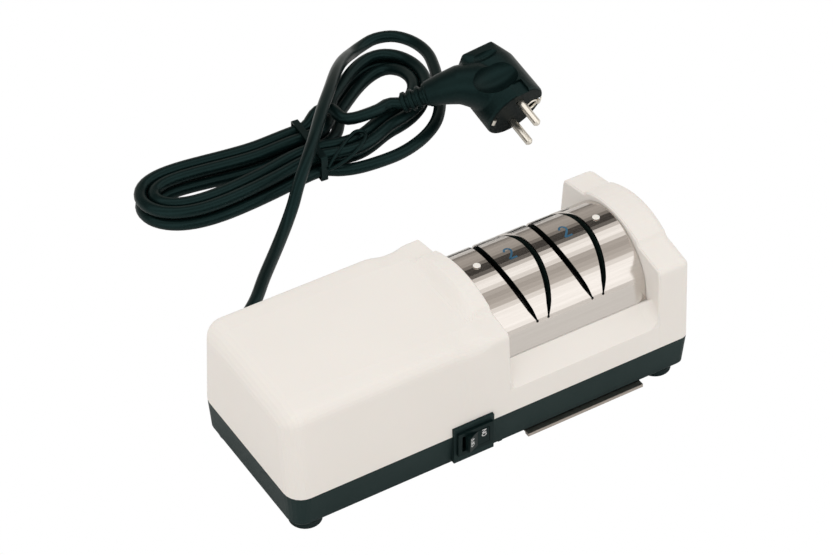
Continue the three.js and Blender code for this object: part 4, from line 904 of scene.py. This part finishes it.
# Each mark: its glyphs, the size of one, the gap between two, the stroke's width, and the
# first corner, as (x, y) on the cover and (x, z) on the rocker
coverMarks = {
    "numeral_left": {
        "glyphs": [numeralTwo], "size": (4.5, 7.8), "gap": 0, "width": 1.15,
        "corner": (34.7, -0.9),
    },
    "numeral_right": {
        "glyphs": [numeralTwo], "size": (4.5, 7.8), "gap": 0, "width": 1.15,
        "corner": (68.4, -1.3),
    },
}
rockerMarks = {
    "mark_on": {
        "glyphs": [letterO, letterN], "size": (1.8, 2.5), "gap": 0.6, "width": 0.45,
        "corner": (-8.9, 20.1),
    },
    "mark_off": {
        "glyphs": [letterO, letterF, letterF], "size": (1.6, 2.3), "gap": 0.5, "width": 0.45,
        "corner": (-16.9, 18.2),
    },
}

# Where the rays start that find the surface under a mark
aboveCover = 120
beforeRocker = -100


def nodeTree(frame, name):
    """A search tree over one CAD node, to lay marks on its surface."""
    mesh = frame["nodes"][name].data
    corners = [vertex.co.copy() for vertex in mesh.vertices]
    return BVHTree.FromPolygons(corners, [tuple(p.vertices) for p in mesh.polygons])


def addStroke(mesh, stroke, width, place):
    """One printed stroke as a thin strip; place gives a surface point and its normal."""
    points = [Vector((u, v, 0)) for u, v in stroke]
    if len(points) > 2:
        points = splineThrough(points, curveSteps)
    else:
        points = [points[0].lerp(points[1], i / barSteps) for i in range(barSteps + 1)]
    lift = markLift * MM
    rows = []
    for i, point in enumerate(points):
        ahead = stepAt(points, i).normalized()
        side = Vector((-ahead.y, ahead.x, 0)) * width / 2
        left, leftNormal = place(point + side)
        right, rightNormal = place(point - side)
        rows.append([
            mesh.verts.new(left + leftNormal * lift),
            mesh.verts.new(right + rightNormal * lift),
            mesh.verts.new(right - rightNormal * lift),
            mesh.verts.new(left - leftNormal * lift),
        ])
    loft(mesh, rows)


def addMark(name, mark, place, material, body):
    """The mark's glyphs side by side."""
    width, height = mark["size"]
    mesh = bmesh.new()
    for i, glyph in enumerate(mark["glyphs"]):
        for stroke in glyph:
            moved = [(u * width + i * (width + mark["gap"]), v * height) for u, v in stroke]
            addStroke(mesh, moved, mark["width"], place)
    bmesh.ops.recalc_face_normals(mesh, faces=mesh.faces)
    addPiece(name, meshData(name, mesh), material, body)


def addMarks(frame, materials):
    """Numerals on the cover, and words that run up the face of the rocker."""
    cover = nodeTree(frame, "steel_cover")
    rocker = nodeTree(frame, "switch_rocker")

    def onCover(corner):
        def place(at):
            start = Vector((corner[0] + at.x, corner[1] + at.y, aboveCover)) * MM
            return cover.ray_cast(start, Vector((0, 0, -1)))[:2]
        return place

    def onRocker(corner):
        def place(at):
            start = Vector((corner[0] - at.y, beforeRocker, corner[1] + at.x)) * MM
            return rocker.ray_cast(start, Vector((0, 1, 0)))[:2]
        return place

    for name, mark in coverMarks.items():
        addMark(name, mark, onCover(mark["corner"]), materials["numeralBlue"], "root")
    for name, mark in rockerMarks.items():
        addMark(name, mark, onRocker(mark["corner"]), materials["markWhite"], "rocker")


# Soft inner corners where the ledge meets the hood and the tower. The ledge's slope and the
# wall below it are given as (distance from the middle plane, height), and each fillet as
# (x of the wall, side it faces, radius)
ledgeKnee = (47.2, 39)
ledgeTop = (35.9, 49)
wallFoot = (48.35, 25)
wallHead = (44.1, 74.5)
ledgeFillets = {"hood": (9, 1, 3), "tower": (100, -1, 6)}

# How deep a fillet is sunk into the walls, its share of the radius below the knee, how far
# it stops short of the top, and how far it stays behind the wall
filletSunk = 0.6
filletBelowKnee = 1.6
filletShort = 0.2
filletInset = 0.05
filletSteps = 8
filletShadeAngle = 30


def filletOutline(x, side, radius):
    """The fillet's section as (x, distance out of the ledge): a corner with a round hollow."""
    outline = [(x - side * filletSunk, -filletSunk), (x + side * radius, -filletSunk)]
    for i in range(filletSteps + 1):
        angle = math.pi / 2 * i / filletSteps
        along = x + side * radius * (1 - math.sin(angle))
        outline.append((along, radius * (1 - math.cos(angle))))
    outline.append((x - side * filletSunk, radius))
    return outline


def trimByWall(mesh, turn):
    """Cuts off what stands out of the body's leaning wall, and closes the cut."""
    wall = Vector((0, turn * (wallHead[0] - wallFoot[0]), wallHead[1] - wallFoot[1]))
    outward = wall.cross(Vector((1, 0, 0))) * turn
    outward = outward if outward.y * turn > 0 else -outward
    cut = bmesh.ops.bisect_plane(
        mesh, geom=mesh.verts[:] + mesh.edges[:] + mesh.faces[:],
        plane_co=(0, turn * (wallFoot[0] - filletInset) + originShiftY, wallFoot[1]),
        plane_no=outward, clear_outer=True,
    )
    rim = [edge for edge in cut["geom_cut"] if isinstance(edge, bmesh.types.BMEdge)]
    bmesh.ops.edgeloop_fill(mesh, edges=rim)


def addLedgeFillet(name, x, side, radius, front, material):
    """One hollow fillet up the ledge's slope, at the front or at the back."""
    turn = -1 if front else 1
    slope = Vector((ledgeTop[0] - ledgeKnee[0], ledgeTop[1] - ledgeKnee[1]))
    length = slope.length
    slope.normalize()
    normal = Vector((slope.y, -slope.x))
    mesh = bmesh.new()
    rings = []
    for distance in (-radius * filletBelowKnee, length - filletShort):
        ring = []
        for across, out in filletOutline(x, side, radius):
            at = Vector(ledgeKnee) + slope * distance + normal * out
            ring.append(mesh.verts.new((across, turn * at.x + originShiftY, at.y)))
        rings.append(ring)
    loft(mesh, rings)
    bmesh.ops.recalc_face_normals(mesh, faces=mesh.faces)
    trimByWall(mesh, turn)
    mesh.transform(Matrix.Scale(MM, 4))
    piece = addPiece(name, meshData(name, mesh), material)
    shadeByAngle(piece, filletShadeAngle)


def addFillets(materials):
    for where, (x, side, radius) in ledgeFillets.items():
        for front in (True, False):
            name = "fillet_" + where + ("_front" if front else "_rear")
            addLedgeFillet(name, x, side, radius, front, materials["housingWhite"])


# Stage, light and camera

# Brightness of the reflected surroundings by angle round the body, from overhead towards
# the user
glossyRamp = [
    (-180, 0.30), (-125, 0.12), (-92, 0.08), (-80, 0.30), (-72, 0.36),
    (-56, 0.34), (-48, 0.22), (-44, 0.045), (-29, 0.035), (-24, 0.09),
    (-20, 0.44), (-12, 0.86), (-4, 0.98), (5, 0.82), (11, 0.43),
    (18, 0.36), (30, 0.44), (38, 0.50), (44, 0.80), (52, 0.98),
    (80, 1.0), (86, 0.85), (92, 0.42), (125, 0.38), (180, 0.32),
]
glossyStrength = 1.4
softColour = (1.0, 0.985, 0.965, 1)
softStrength = 0.95


def background(tree, colour, strength):
    shader = tree.nodes.new("ShaderNodeBackground")
    setInputs(shader, {"Color": colour, "Strength": strength})
    return shader


def mixedByRay(tree, ray, usual, special):
    """The usual shader, and the special one for rays of the kind named."""
    rays = tree.nodes.new("ShaderNodeLightPath")
    mix = tree.nodes.new("ShaderNodeMixShader")
    link(tree, rays.outputs[ray], mix.inputs["Fac"])
    link(tree, usual, mix.inputs[1])
    link(tree, special, mix.inputs[2])
    return mix.outputs["Shader"]


def glossyBands(tree):
    """The ramp laid round the body's long axis, grey at its ends and slightly warm between."""
    place = tree.nodes.new("ShaderNodeTexCoord")
    split = tree.nodes.new("ShaderNodeSeparateXYZ")
    front = tree.nodes.new("ShaderNodeMath")
    front.operation = "MULTIPLY"
    front.inputs[1].default_value = -1.0
    turn = tree.nodes.new("ShaderNodeMath")
    turn.operation = "ARCTAN2"
    share = tree.nodes.new("ShaderNodeMapRange")
    setInputs(share, {"From Min": -math.pi, "From Max": math.pi})
    bands = tree.nodes.new("ShaderNodeValToRGB")
    link(tree, place.outputs["Generated"], split.inputs["Vector"])
    link(tree, split.outputs["Y"], front.inputs[0])
    link(tree, front.outputs["Value"], turn.inputs[0])
    link(tree, split.outputs["Z"], turn.inputs[1])
    link(tree, turn.outputs["Value"], share.inputs["Value"])
    link(tree, share.outputs["Result"], bands.inputs["Fac"])
    elements = bands.color_ramp.elements
    elements[0].position = 0
    elements[0].color = (glossyRamp[0][1],) * 3 + (1,)
    elements[1].position = 1
    elements[1].color = (glossyRamp[-1][1],) * 3 + (1,)
    for degrees, value in glossyRamp[1:-1]:
        element = elements.new((degrees + 180) / 360)
        warm = 0.78 + 0.18 * value
        element.color = (value, value * (1 + warm) / 2, value * warm, 1)
    return bands


def addWorld():
    """White to the camera, soft light on the body, and bands of light and dark for reflections."""
    world = bpy.data.worlds.new("studio")
    bpy.context.scene.world = world
    world.use_nodes = True
    tree = world.node_tree
    tree.nodes.clear()
    output = tree.nodes.new("ShaderNodeOutputWorld")
    reflected = background(tree, (1, 1, 1, 1), glossyStrength)
    link(tree, glossyBands(tree).outputs["Color"], reflected.inputs["Color"])
    soft = background(tree, softColour, softStrength).outputs["Background"]
    plain = background(tree, (1, 1, 1, 1), 1.0).outputs["Background"]
    lit = mixedByRay(tree, "Is Glossy Ray", soft, reflected.outputs["Background"])
    shown = mixedByRay(tree, "Is Camera Ray", lit, plain)
    link(tree, shown, output.inputs["Surface"])


floorHalfWidth = 6
floorDrop = 0.0002


def addFloor():
    """A floor that lights the underside and shows as plain white."""
    mesh = bmesh.new()
    bmesh.ops.create_grid(mesh, x_segments=1, y_segments=1, size=floorHalfWidth)
    floor = bpy.data.objects.new("floor", meshData("floor", mesh))
    floor.location = (0, 0, -floorDrop)
    bpy.context.scene.collection.objects.link(floor)
    material, tree, shader = newMaterial("floorWhite")
    setInputs(shader, {
        "Base Color": (0.80, 0.79, 0.78, 1), "Roughness": 0.8, "Specular IOR Level": 0.1,
    })
    output = next(node for node in tree.nodes if node.type == "OUTPUT_MATERIAL")
    glow = tree.nodes.new("ShaderNodeEmission")
    setInputs(glow, {"Color": (1, 1, 1, 1), "Strength": 1.0})
    shown = mixedByRay(
        tree, "Is Camera Ray", shader.outputs["BSDF"], glow.outputs["Emission"],
    )
    link(tree, shown, output.inputs["Surface"])
    setMaterial(floor, material)


# Places and sizes in metres
areaLights = {
    "overhead": {"place": (-0.15, -0.35, 1.5), "size": 1.2, "power": 3.0},
    "left": {"place": (-1.3, -0.5, 0.9), "size": 0.9, "power": 1.0},
}
lightAim = (0, 0.05, 0.03)
lightColour = (1.0, 0.985, 0.96)


def addLights():
    for name, settings in areaLights.items():
        data = bpy.data.lights.new(name, "AREA")
        data.shape = "SQUARE"
        data.size = settings["size"]
        data.energy = settings["power"]
        data.color = lightColour
        light = bpy.data.objects.new(name, data)
        light.location = settings["place"]
        aim = Vector(lightAim) - Vector(settings["place"])
        light.rotation_mode = "QUATERNION"
        light.rotation_quaternion = aim.to_track_quat("-Z", "Y")
        light.visible_glossy = False
        light.visible_camera = False
        bpy.context.scene.collection.objects.link(light)


def addCamera():
    data = bpy.data.cameras.new("photo")
    data.lens = cameraLens
    data.sensor_width = cameraSensor
    data.clip_start = 0.01
    data.clip_end = 50
    camera = bpy.data.objects.new("photo", data)
    right = Vector(cameraRight).normalized()
    up = Vector(cameraUp).normalized()
    back = right.cross(up)
    turn = Matrix((right, up, back)).transposed().to_4x4()
    camera.matrix_world = Matrix.Translation(Vector(cameraPlace)) @ turn
    bpy.context.scene.collection.objects.link(camera)
    bpy.context.scene.camera = camera
    scene = bpy.context.scene
    scene.view_settings.view_transform = "Standard"
    scene.view_settings.look = "None"


def main():
    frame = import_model()
    print("stage load", len(frame["nodes"]))
    materials = makeMaterials()
    dressFrame(frame, materials)
    print("stage frame")
    addFillets(materials)
    addMarks(frame, materials)
    print("stage marks")
    plug = addPlug(materials)
    addTieTail(materials)
    addCord(materials)
    addWorld()
    addFloor()
    addLights()
    addCamera()


main()
